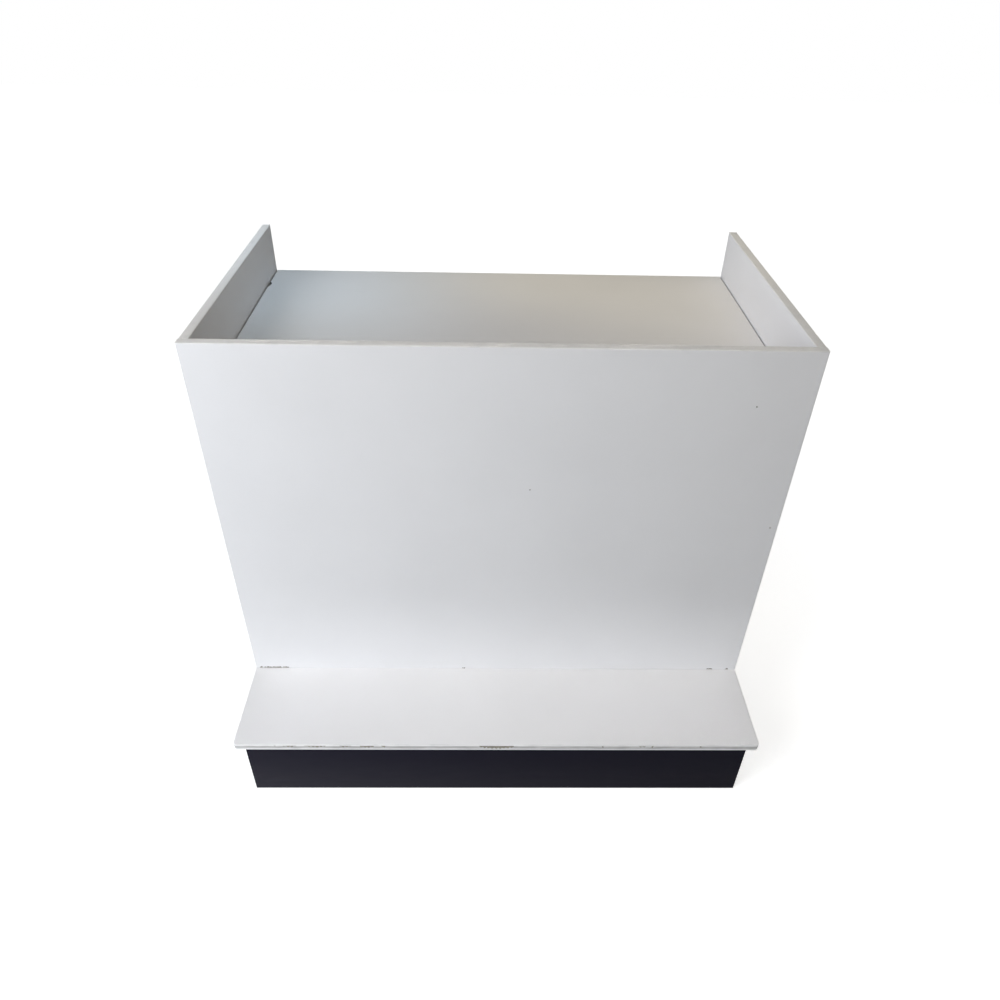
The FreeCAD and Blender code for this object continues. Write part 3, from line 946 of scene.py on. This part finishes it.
@dataclass
class FrontPanel:
    """The full-width front board: knocked along its foot and nicked on its face."""

    joint: float = 0.2 * MM
    seed: int = 11
    chip_height: float = 5.5 * MM
    chip_depth: float = 1.4 * MM
    bite_length: float = 6 * MM
    # Where each chip along the foot starts and ends, and where each nick lies across and up the face.
    foot_chips: tuple[Span, ...] = (
        (-0.5994, -0.5931), (-0.5895, -0.5699), (-0.5684, -0.5465), (-0.5425, -0.5268),
        (-0.0903, -0.0809), (0.5353, 0.5497), (0.5839, 0.5906))
    nicks: tuple[Span, ...] = ((0.0593, 0.7666), (0.4971, 0.9740), (0.5930, 0.6687))
    nick_half: Triple = (1.6 * MM, 0.8 * MM, 1.6 * MM)

    def build(self) -> None:
        """Make the board and its edging."""
        low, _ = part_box("front_panel")
        chips = []
        for start, end in self.foot_chips:
            bites = max(1, round((end - start) / self.bite_length))
            chips.append(Chip(((start + end) / 2, low.y, low.z),
                              ((end - start) / 2, self.chip_depth, self.chip_height), bites))
        for x_nick, z_nick in self.nicks:
            chips.append(Chip((x_nick, low.y, z_nick), self.nick_half, 1))
        ChippedBoard("front_panel", Axis.Y, chips, self.seed, lift=self.joint).build()
        EdgeBands("front_panel_edge_bands", "front_panel", Body.CARCASS).build()


@dataclass
class SidePanels:
    """The two side boards, which rise above the worktop and are bored in rows for shelf pins."""

    sides: tuple[str, ...] = ("left", "right")

    def build(self) -> None:
        """Dress the boards and make their edging."""
        for side in self.sides:
            board = side + "_side_panel"
            dress(board, board_finish(board, Axis.X))
            EdgeBands(side + "_side_edge_bands", board, Body.CARCASS).build()


@dataclass
class Worktop:
    """The recessed worktop: open joints at its sides, and its left edge knocked out near the rear."""

    joint: float = 1.4 * MM
    seed: int = 5
    notch_from_middle: float = 0.3566
    notch_half: Triple = (7 * MM, 16 * MM, 30 * MM)
    # The core in the notch is painted near black: partly grime, partly painted shade in the deep hole.
    grime_and_painted_shade_core: tuple[str, str] = ("#2E2823", "#141210")

    def build(self) -> None:
        """Make the board and its edging, and dress the cleats that carry it."""
        low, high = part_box("worktop")
        notch = Chip((low.x, self.notch_from_middle, high.z), self.notch_half, 1)
        ChippedBoard("worktop", Axis.Z, [notch], self.seed, draw_in=self.joint,
                     core=self.grime_and_painted_shade_core).build()
        EdgeBands("worktop_edge_band", "worktop", Body.CARCASS).build()
        dress("left_cleat", pine(Axis.Y))
        dress("right_cleat", pine(Axis.Y))
        dress("front_cleat", pine(Axis.X))


@dataclass
class Shelf:
    """The adjustable shelf on its four spoon pins."""

    def build(self) -> None:
        """Dress the board and the pins and make the edging."""
        dress("adjustable_shelf", board_finish("adjustable_shelf", Axis.Z))
        EdgeBands("shelf_edge_band", "adjustable_shelf", Body.SHELF).build()
        dress("shelf_pins", PLATED_STEEL)


@dataclass
class Deck:
    """The base deck: its front part is the low ledge, whose edging is kicked and broken."""

    band: float = 2 * MM
    corner: float = 8 * MM
    arris: float = 1.9 * MM
    arris_steps: int = 5
    corner_steps: int = 8
    face_steps: int = 8
    length_steps: int = 610
    seed: int = 23
    break_depth: float = 1.3 * MM
    break_height: float = 15 * MM
    kept_arris: float = 5 * MM
    # A break's lower edge waves, its height has a least share, and its ends run out steeply.
    wave: float = 0.15
    wave_length: float = 9 * MM
    least_height: float = 0.45
    end_power: float = 0.3
    depth_range: Span = (0.75, 1.15)
    # Stretches along the ledge where the edging is broken, and how deep as a share of the full break.
    breaks: tuple[Triple, ...] = (
        (-0.5164, -0.5118, 0.5), (-0.4994, -0.4625, 0.45), (-0.4499, -0.3932, 0.5),
        (-0.3677, -0.3380, 0.45), (-0.3226, -0.2827, 0.6), (-0.2705, -0.2597, 0.6),
        (-0.0464, 0.0394, 1.0), (0.2411, 0.2465, 0.5), (0.3230, 0.3485, 0.4),
        (0.3572, 0.3614, 0.7), (0.4705, 0.4749, 0.5))

    def section(self, shape: Shape, start: Vector, outward: Vector) -> list[Edge]:
        """Draw the band's closed section at its left rear end.

        Args:
            shape: The shape to draw in.
            start: The section's lower outer corner before rounding.
            outward: The direction away from the board.

        Returns:
            The section's edges.
        """
        low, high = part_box("base_deck")
        height = high.z - low.z
        points = [start - outward * self.band]
        for centre_z, first in ((self.arris, -math.pi / 2), (height - self.arris, 0.0)):
            for step in range(self.arris_steps + 1):
                angle = first + math.pi / 2 * step / self.arris_steps
                points.append(start + outward * (self.arris * (math.cos(angle) - 1))
                              + UP * (centre_z + self.arris * math.sin(angle)))
            if first < 0:
                span = height - 2 * self.arris
                for step in range(1, self.face_steps):
                    points.append(start + UP * (self.arris + span * step / self.face_steps))
        points.append(start - outward * self.band + UP * height)
        ring = [shape.verts.new(point) for point in points]
        return [shape.edges.new((ring[index - 1], ring[index])) for index in range(len(ring))]

    def run(self, shape: Shape, edges: list[Edge], travel: Vector, steps: int) -> list[Edge]:
        """Carry the section along a straight run.

        Args:
            shape: The shape under way.
            edges: The section's edges where the run starts.
            travel: The whole run.
            steps: How many lengths it is made in.

        Returns:
            The section's edges at the far end.
        """
        for _ in range(steps):
            grown = bmesh.ops.extrude_edge_only(shape, edges=edges)["geom"]
            verts = [item for item in grown if isinstance(item, Vertex)]
            bmesh.ops.translate(shape, verts=verts, vec=travel / steps)
            tips = set(verts)
            edges = [item for item in grown if isinstance(item, Edge)
                     and item.verts[0] in tips and item.verts[1] in tips]
        return edges

    def turn(self, shape: Shape, edges: list[Edge], centre: Vector) -> list[Edge]:
        """Carry the section round a rounded corner of the ledge.

        Args:
            shape: The shape under way.
            edges: The section's edges where the corner starts.
            centre: The corner's centre.

        Returns:
            The section's edges where the corner ends.
        """
        grown = bmesh.ops.spin(shape, geom=edges, cent=centre, axis=UP, angle=math.pi / 2,
                               steps=self.corner_steps, use_merge=False)["geom_last"]
        return [item for item in grown if isinstance(item, Edge)]

    def break_edge(self, shape: Shape, front: float, top: float) -> None:
        """Knock the broken stretches of the front edge back from its upper arris.

        Args:
            shape: The whole band.
            front: Where the ledge's front face lies.
            top: The ledge's level.
        """
        draw = random.Random(self.seed)
        for start, end, share in self.breaks:
            phase = draw.uniform(0, math.tau)
            height = self.break_height * (self.least_height + (1 - self.least_height) * share)
            for vertex in shape.verts:
                along = (vertex.co.x - start) / (end - start)
                if not 0 <= along <= 1 or vertex.co.y > front + self.arris + TOUCH:
                    continue
                turn = phase + vertex.co.x * math.tau / self.wave_length
                ragged = 1 - self.wave + self.wave * math.sin(turn)
                reach = height * ragged * math.sin(math.pi * along) ** self.end_power
                below = top - vertex.co.z
                if below > reach or below < self.kept_arris:
                    continue
                depth = self.break_depth * share * draw.uniform(*self.depth_range)
                vertex.co.y = max(vertex.co.y, front + depth)

    def build(self) -> None:
        """Dress the deck and make its edging."""
        dress("base_deck", board_finish("base_deck", Axis.Z))
        low, high = corners_of([corner for points in solids("deck_edge_bands") for corner in points])
        wrap_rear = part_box("base_deck")[1].y
        shape = bmesh.new()
        left = Axis.X.vector() * -1
        edges = self.section(shape, Vector((low.x, wrap_rear, low.z)), left)
        first = list(edges)
        side_run = Vector((0, low.y + self.corner - wrap_rear, 0))
        edges = self.run(shape, edges, side_run, 1)
        edges = self.turn(shape, edges, Vector((low.x + self.corner, low.y + self.corner, low.z)))
        front_run = Vector((high.x - low.x - 2 * self.corner, 0, 0))
        edges = self.run(shape, edges, front_run, self.length_steps)
        edges = self.turn(shape, edges, Vector((high.x - self.corner, low.y + self.corner, low.z)))
        edges = self.run(shape, edges, -side_run, 1)
        for ring in (first, edges):
            bmesh.ops.contextual_create(shape, geom=ring)
        bmesh.ops.remove_doubles(shape, verts=shape.verts, dist=TOUCH)
        self.break_edge(shape, low.y, high.z)
        rear = EdgeBands("deck_edge_bands", "base_deck", Body.CARCASS)
        rear.strip(shape, (Vector((low.x, wrap_rear, low.z)), high.copy()))
        worn = WornBand("white_ABS_edging_greyed_and_broken", WHITE_EDGING.colour, WHITE_EDGING.roughness,
                        front=low.y, top=high.z, straight=high.x - self.corner)
        make_piece(shape, "deck_edge_bands_wrap", ["deck_edge_bands"], worn,
                   Body.CARCASS.value)


@dataclass
class Plinth:
    """The black recessed base: four kick boards, two cross rails and four corner blocks."""

    sides: tuple[str, ...] = ("front", "rear", "left", "right")
    ease: float = 0.6 * MM
    ease_steps: int = 2

    def eased(self, node: str) -> Shape:
        """Kick board with its outer arrises eased.

        Args:
            node: The board's node.

        Returns:
            The bored board with its twelve arrises rounded a little.
        """
        shape = merged_copy(node)
        bmesh.ops.dissolve_limit(shape, angle_limit=FLAT, verts=shape.verts, edges=shape.edges)
        planes = [(index, corner[index]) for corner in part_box(node) for index in range(3)]
        arrises = []
        for edge in shape.edges:
            shared = [plane for plane in planes
                      if all(abs(vertex.co[plane[0]] - plane[1]) < TOUCH for vertex in edge.verts)]
            if len(shared) == 2:
                arrises.append(edge)
        bmesh.ops.bevel(shape, geom=arrises, offset=self.ease, segments=self.ease_steps, profile=0.5,
                        affect="EDGES", material=-1)
        return shape

    def build(self) -> None:
        """Make the kick boards and dress the timbers."""
        for side in self.sides:
            node = "kick_" + side
            make_piece(self.eased(node), node + "_board", [node], BLACK_LAMINATE,
                       Body.CARCASS.value)
        dress("plinth_cross_rails", pine(Axis.Y))
        dress("plinth_corner_blocks", pine(Axis.Z))
        dress("plinth_dowels", BEECH)


@dataclass
class Fastenings:
    """Screws, brackets, cams and dowels that hold the boards together."""

    sides: int = 20
    head: float = 4.0 * MM
    head_lip: float = 0.25 * MM
    head_depth: float = 2.4 * MM
    point: float = 4.0 * MM
    pan: float = 3.8 * MM
    pan_height: float = 2.6 * MM
    pan_round: float = 1.0 * MM
    pan_steps: int = 4
    thread: Thread = Thread(root=1.45 * MM, crest=2.0 * MM, pitch=1.8 * MM, sides=14)
    recess_reach: float = 4.6 * MM
    recess_width: float = 1.0 * MM
    recess_depth: float = 2.2 * MM
    recess_taper: float = 0.45
    cap: float = 8.5 * MM
    cap_sides: int = 40
    cap_thickness: float = 1.4 * MM
    cap_spigot: float = 3.5 * MM
    cap_dish: float = 0.35 * MM
    cap_rim: float = 5.8 * MM
    cap_notch: float = 1.3 * MM
    # Corners of the cap's rounded edge, in from its rim and down from its face.
    # They are shares of its thickness.
    cap_edge: tuple[Span, ...] = ((1 / 2, 0), (1 / 6, 1 / 4), (0, 5 / 8))

    def cross_recess(self) -> Shape:
        """Cutter for the cross in a screw's head.

        Returns:
            Two crossed tapering bars that enter along +Z from the origin.
        """
        shape = bmesh.new()
        deep = 2 * self.recess_depth
        for across in ((self.recess_reach, self.recess_width), (self.recess_width, self.recess_reach)):
            bar = bmesh.ops.create_cube(shape, size=1.0,
                                        matrix=Matrix.Diagonal((*across, deep, 1)))["verts"]
            inner = [vertex for vertex in bar if vertex.co.z > 0]
            bmesh.ops.scale(shape, vec=(self.recess_taper, self.recess_taper, 1), verts=inner)
        return shape

    def screw(self, head: list[Span], shank_start: float, length: float) -> Shape:
        """One cross-headed wood screw along +Z, its head's outer face at the origin.

        Args:
            head: Outline of the head.
            shank_start: Depth at which the head ends.
            length: Depth of the point.

        Returns:
            The screw.
        """
        thread = self.thread
        thread_start = shank_start + 2 * thread.pitch
        thread_end = length - self.point
        profile = [(0, 0), *head, (thread.crest, shank_start), (thread.crest, thread_start),
                   (thread.root, thread_start + thread.pitch / 2), (thread.root, thread_end), (0, length)]
        shape = carve(turned(profile, self.sides), self.cross_recess())
        thread.wind(shape, thread_start, thread_end)
        return shape

    def build_screws(self) -> None:
        """Make the flat-headed and the pan-headed screws."""
        flat = [(self.head - self.head_lip, 0), (self.head, self.head_lip)]
        crown = self.pan - self.pan_round
        pan = [(crown, 0)]
        for step in range(1, self.pan_steps + 1):
            angle = math.pi / 2 * step / self.pan_steps
            pan.append((crown + self.pan_round * math.sin(angle), self.pan_round * (1 - math.cos(angle))))
        pan.append((self.pan, self.pan_height))
        for node, head, depth in (("corner_block_screws", flat, self.head_depth),
                                  ("cleat_screws", flat, self.head_depth),
                                  ("worktop_screws", flat, self.head_depth),
                                  ("bracket_screws", pan, self.pan_height)):
            places = seats(node)
            shape = repeated(self.screw(head, depth, places[0].length), [seat.matrix() for seat in places])
            make_piece(shape, node + "_cross_headed", [node], PLATED_STEEL,
                       Body.CARCASS.value)

    def build_caps(self) -> None:
        """Make the dished cover caps, each with a notch to prise it out by."""
        thick = self.cap_thickness
        places = seats("cam_caps", flat=True)
        profile = [(0, self.cap_dish), (self.cap_rim - self.cap_dish * 2, self.cap_dish), (self.cap_rim, 0),
                   *[(self.cap - inset * thick, down * thick) for inset, down in self.cap_edge],
                   (self.cap, thick), (self.cap_spigot, thick), (self.cap_spigot, places[0].length),
                   (0, places[0].length)]
        bite = bmesh.new()
        bmesh.ops.create_icosphere(bite, subdivisions=2, radius=self.cap_notch,
                                   matrix=Matrix.Translation((self.cap + self.cap_notch / 3, 0, thick)))
        shape = repeated(carve(turned(profile, self.cap_sides), bite), [seat.matrix() for seat in places])
        make_piece(shape, "cam_caps_dished", ["cam_caps"], WHITE_PLASTIC,
                   Body.CARCASS.value)

    def build(self) -> None:
        """Make the screws and caps and dress the rest."""
        self.build_screws()
        self.build_caps()
        for node in ("deck_brackets", "cam_bolts"):
            dress(node, PLATED_STEEL)
        dress("cam_housings", CAST_ZINC)
        dress("carcass_dowels", BEECH)


@dataclass
class Levelers:
    """Four screw feet inside the plinth's corners: insert, threaded stud and swivelling pad."""

    places: tuple[str, ...] = ("front_left", "front_right", "rear_left", "rear_right")
    thread: Thread = Thread(root=3.4 * MM, crest=4.0 * MM, pitch=1.25 * MM, sides=28)
    boss: float = 6.0 * MM
    boss_height: float = 4.0 * MM
    hexagon: float = 14.0 * MM
    hexagon_height: float = 6.0 * MM
    hexagon_from_boss: float = 6.5 * MM
    hexagon_ease: float = 0.5 * MM
    ease_steps: int = 2
    tip: float = 1.0 * MM
    pad: float = 20.0 * MM
    pad_sides: int = 48
    pad_rim: float = 3.0 * MM
    pad_crown: float = 9.0 * MM
    pad_floor: float = 3.0 * MM
    pad_ease: float = 1.0 * MM
    play: float = 0.1 * MM

    def stud(self, node: str) -> Shape:
        """Threaded stud with its hexagon and the boss that the pad turns on.

        Args:
            node: The stud's node.

        Returns:
            The stud, in place.
        """
        low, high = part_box(node)
        height = high.z - low.z
        hexagon_top = self.hexagon_from_boss + self.hexagon_height
        root = self.thread.root
        plain = self.thread.crest - self.play
        profile = [(0, 0), (self.boss, 0), (self.boss, self.boss_height), (plain, self.boss_height),
                   (plain, hexagon_top), (root, hexagon_top), (root, height - self.tip),
                   (root - self.tip, height), (0, height)]
        shape = turned(profile, self.thread.sides)
        self.thread.wind(shape, hexagon_top, height - self.tip)
        half_side = math.pi / 6
        corner = self.hexagon / 2 / math.cos(half_side)
        nut = bmesh.ops.create_cone(shape, cap_ends=True, segments=6, radius1=corner, radius2=corner,
                                    depth=self.hexagon_height)["verts"]
        bmesh.ops.rotate(shape, verts=nut, cent=(0, 0, 0), matrix=Matrix.Rotation(half_side, 3, "Z"))
        bmesh.ops.translate(shape, verts=nut, vec=UP * (self.hexagon_from_boss + self.hexagon_height / 2))
        rims = {edge for vertex in nut for edge in vertex.link_edges}
        bmesh.ops.bevel(shape, geom=list(rims), offset=self.hexagon_ease, segments=self.ease_steps,
                        profile=0.5, affect="EDGES", material=-1)
        middle = (low + high) / 2
        bmesh.ops.translate(shape, verts=shape.verts, vec=(middle.x, middle.y, low.z))
        return shape

    def foot_pad(self, node: str) -> Shape:
        """Moulded pad with rounded rims and a socket for the stud's boss.

        Args:
            node: The pad's node.

        Returns:
            The pad, in place.
        """
        low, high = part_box(node)
        height = high.z - low.z
        ease = self.pad_ease
        mouth = self.thread.crest + self.play
        socket = self.boss + self.play
        socket_top = self.pad_floor + self.boss_height + self.play
        profile = [(0, 0), (self.pad - ease, 0), (self.pad, ease), (self.pad, self.pad_rim - ease / 2),
                   (self.pad - ease / 2, self.pad_rim), (self.pad_crown + ease, height - ease / 2),
                   (self.pad_crown, height), (mouth, height), (mouth, socket_top), (socket, socket_top),
                   (socket, self.pad_floor), (0, self.pad_floor)]
        shape = turned(profile, self.pad_sides)
        middle = (low + high) / 2
        bmesh.ops.translate(shape, verts=shape.verts, vec=(middle.x, middle.y, low.z))
        return shape

    def build(self) -> None:
        """Make the studs and pads and dress the inserts."""
        dress("leveler_inserts", PLATED_STEEL)
        for place in self.places:
            pad = "leveler_pad_" + place
            make_piece(self.foot_pad(pad), pad + "_moulded", [pad], BLACK_PLASTIC,
                       "pad_" + place)
            stud = "leveler_stud_" + place
            make_piece(self.stud(stud), stud + "_threaded", [stud], PLATED_STEEL,
                       "stud_" + place)


@dataclass(frozen=True)
class SoftBox:
    """A soft rectangular lamp."""

    name: str
    place: Triple
    aim: Triple
    size: Span
    colour: str
    watts: float
    spread_deg: float = 180.0

    def build(self) -> None:
        """Hang the lamp and point it."""
        lamp = bpy.data.lights.new(self.name, "AREA")
        lamp.shape = "RECTANGLE"
        lamp.size, lamp.size_y = self.size
        lamp.color = linear(self.colour)[:3]
        lamp.energy = self.watts
        lamp.spread = math.radians(self.spread_deg)
        holder = put_in_scene(self.name, lamp)
        holder.location = self.place
        holder.rotation_euler = (Vector(self.aim) - Vector(self.place)).to_track_quat("-Z", "Y").to_euler()
        holder.visible_camera = False


# Cool window light from the left, warm light from above, and weak narrow lamps that even it out.
STUDIO_LAMPS = (
    SoftBox("window_left", (-2.3, -2.1, 1.7), (0.0, -0.2, 0.6), (1.8, 2.0), "#F1F7FF", 56.2),
    SoftBox("key_left_high", (-2.0, -1.5, 2.8), (0.0, -0.1, 0.7), (1.6, 1.6), "#FFFBF4", 25.6),
    SoftBox("warm_front_top", (0.9, -1.3, 3.0), (0.0, -0.3, 0.3), (1.6, 1.2), "#FFF0D4", 9.3),
    SoftBox("cool_over_left", (-0.5, 0.32, 2.8), (-0.5, 0.32, 0.97), (0.5, 0.5), "#D0ECFF", 0.272, 25.0),
    SoftBox("warm_over_middle", (0.02, 0.44, 2.8), (0.02, 0.44, 0.97), (0.4, 0.2), "#FFEEBE", 0.082, 22.0),
    SoftBox("warm_over_right", (0.42, 0.32, 2.8), (0.42, 0.32, 0.97), (0.5, 0.5), "#FFEAB3", 0.144, 25.0),
    SoftBox("over_parapet", (0.0, -0.213, 2.9), (0.0, -0.213, 1.09), (1.3, 0.04), "#FFF8EA", 0.021, 5.5),
    SoftBox("over_ledge", (0.0, -0.41, 2.9), (0.0, -0.41, 0.2), (1.0, 0.1), WHITE, 0.028, 9.0),
    SoftBox("over_ledge_left", (-0.52, -0.43, 2.9), (-0.52, -0.43, 0.2), (0.3, 0.1), "#F0F4FF", 0.02, 9.0),
    SoftBox("over_ledge_right", (0.47, -0.43, 2.9), (0.47, -0.43, 0.2), (0.4, 0.1), WHITE, 0.036, 9.0),
    SoftBox("fill_right_wall", (-2.3, 0.0, 1.9), (0.59, 0.0, 1.04), (0.8, 0.6), "#F6F6FF", 0.172, 16.0),
    SoftBox("fill_right_low", (3.0, 0.15, 0.55), (0.0, 0.15, 0.55), (0.7, 0.7), "#F4F6FA", 18.0),
    SoftBox("fill_rear_low", (0.2, 3.2, 0.3), (0.2, 0.0, 0.3), (2.4, 0.4), "#F4F6FA", 5.0, 30.0),
    SoftBox("fill_foot", (0.1, -2.6, 0.475), (0.1, -0.23, 0.235), (2.2, 0.1), "#F8FAFC", 0.23, 12.0),
)


@dataclass
class Studio:
    """The pale floor, the soft light and the camera."""

    camera_place: Triple = (-0.03719, -1.5460, 1.7326)
    camera_yaw: float = 0.028119
    camera_down: float = 0.64028
    camera_roll: float = 0.025801
    camera_nearest: float = 10 * MM
    lens_mm: float = 27.84
    shift: Span = (-0.0017, -0.0048)
    floor_half: float = 9.0
    floor_drop: float = 0.2 * MM
    floor_colour: str = "#EEEEEE"
    # Share of white that the floor gives to the view, beside the counter and far from it.
    floor_lift: Span = (0.68, 1.0)
    floor_near: float = 0.8
    floor_far: float = 2.2
    # The same share in mirror images, beside the counter's left and right ends: a painted reflection for
    # the satin plinth, bright at the left and dim at the right.
    painted_reflection_lift: Span = (1.0, 0.07)
    mirror_reach: float = 0.6
    ambient_colour: str = "#EDF6FF"
    ambient: float = 0.04
    lamps: tuple[SoftBox, ...] = STUDIO_LAMPS

    def white_seen(self, tree: Tree) -> Socket:
        """Tell which rays show a plain white ground: straight, mirrored or let through.

        Args:
            tree: The node tree to add to.

        Returns:
            One for such a ray, and zero for any other.
        """
        path = add_node(tree, "ShaderNodeLightPath", {})
        seen = path.outputs["Is Camera Ray"]
        for kind in ("Is Glossy Ray", "Is Transmission Ray"):
            seen = add_node(tree, "ShaderNodeMath", {0: seen, 1: path.outputs[kind]},
                            operation="MAXIMUM").outputs[0]
        return seen

    def floor(self) -> None:
        """Lay a pale floor that keeps the counter's shadow and is clear from below."""
        shape = bmesh.new()
        bmesh.ops.create_grid(shape, x_segments=1, y_segments=1, size=self.floor_half,
                              matrix=Matrix.Translation(UP * -self.floor_drop))
        material = bpy.data.materials.new("studio_floor_matt_paint")
        tree = empty_tree(material)
        matt = add_node(tree, "ShaderNodeBsdfDiffuse", {"Color": linear(self.floor_colour)})
        place = add_node(tree, "ShaderNodeTexCoord", {}).outputs["Object"]
        away = add_node(tree, "ShaderNodeVectorMath", {0: place}, operation="LENGTH")
        direct = add_node(tree, "ShaderNodeMapRange", {
            "Value": away.outputs["Value"], "From Min": self.floor_near, "From Max": self.floor_far,
            "To Min": self.floor_lift[0], "To Max": self.floor_lift[1]})
        # Painted reflection: in mirror images the floor glows brightly at the left and dimly at the right,
        # so that its image in the satin plinth dims to the right.
        parts = add_node(tree, "ShaderNodeSeparateXYZ", {"Vector": place})
        painted_reflection = add_node(tree, "ShaderNodeMapRange", {
            "Value": parts.outputs[0], "From Min": -self.mirror_reach, "From Max": self.mirror_reach,
            "To Min": self.painted_reflection_lift[0], "To Max": self.painted_reflection_lift[1]})
        path = add_node(tree, "ShaderNodeLightPath", {})
        share = add_node(tree, "ShaderNodeMix", {
            0: path.outputs["Is Glossy Ray"], 2: direct.outputs[0], 3: painted_reflection.outputs[0]})
        strength = add_node(tree, "ShaderNodeMath", {0: self.white_seen(tree), 1: share.outputs[0]},
                            operation="MULTIPLY")
        lift = add_node(tree, "ShaderNodeEmission", {"Strength": strength.outputs[0]})
        top = add_node(tree, "ShaderNodeAddShader", {0: matt.outputs[0], 1: lift.outputs[0]})
        clear = add_node(tree, "ShaderNodeBsdfTransparent", {})
        side = add_node(tree, "ShaderNodeNewGeometry", {})
        both = add_node(tree, "ShaderNodeMixShader", {
            0: side.outputs["Backfacing"], 1: top.outputs[0], 2: clear.outputs[0]})
        add_node(tree, "ShaderNodeOutputMaterial", {"Surface": both.outputs[0]})
        mesh = mesh_of(shape, "studio_floor")
        mesh.materials.append(material)
        put_in_scene("studio_floor", mesh)

    def sky(self) -> None:
        """Light everything a little from all round, in front of a white ground."""
        world = bpy.data.worlds.new("studio_surround")
        tree = empty_tree(world)
        glow = add_node(tree, "ShaderNodeBackground", {
            "Color": linear(self.ambient_colour), "Strength": self.ambient})
        white = add_node(tree, "ShaderNodeBackground", {"Color": linear(WHITE), "Strength": 1.0})
        mix = add_node(tree, "ShaderNodeMixShader", {
            0: self.white_seen(tree), 1: glow.outputs[0], 2: white.outputs[0]})
        add_node(tree, "ShaderNodeOutputWorld", {"Surface": mix.outputs[0]})
        bpy.context.scene.world = world

    def camera(self) -> None:
        """Set the camera where the photograph was taken."""
        ahead = Vector((math.sin(self.camera_yaw) * math.cos(self.camera_down),
                        math.cos(self.camera_yaw) * math.cos(self.camera_down),
                        -math.sin(self.camera_down)))
        level = Vector((math.cos(self.camera_yaw), -math.sin(self.camera_yaw), 0))
        upright = level.cross(ahead)
        across = level * math.cos(self.camera_roll) + upright * math.sin(self.camera_roll)
        above = upright * math.cos(self.camera_roll) - level * math.sin(self.camera_roll)
        turn = Matrix((across, above, -ahead)).transposed().to_4x4()
        lens = bpy.data.cameras.new("photograph_view")
        lens.lens = self.lens_mm
        lens.shift_x, lens.shift_y = self.shift
        lens.clip_start = self.camera_nearest
        camera = put_in_scene("photograph_view", lens)
        camera.matrix_world = Matrix.Translation(self.camera_place) @ turn
        bpy.context.scene.camera = camera

    def build(self) -> None:
        """Set up the whole studio."""
        self.floor()
        self.sky()
        for lamp in self.lamps:
            lamp.build()
        self.camera()
        bpy.context.scene.view_settings.view_transform = "Standard"


def main() -> None:
    """Build every sub-assembly in order, then the studio."""
    logging.basicConfig(level=logging.INFO, format="%(message)s")
    for assembly in (Plinth(), Levelers(), Deck(), FrontPanel(), SidePanels(), Worktop(), Shelf(),
                     Fastenings()):
        logging.info("%s", type(assembly).__name__)
        assembly.build()
    Studio().build()


if __name__ == "__main__":
    main()
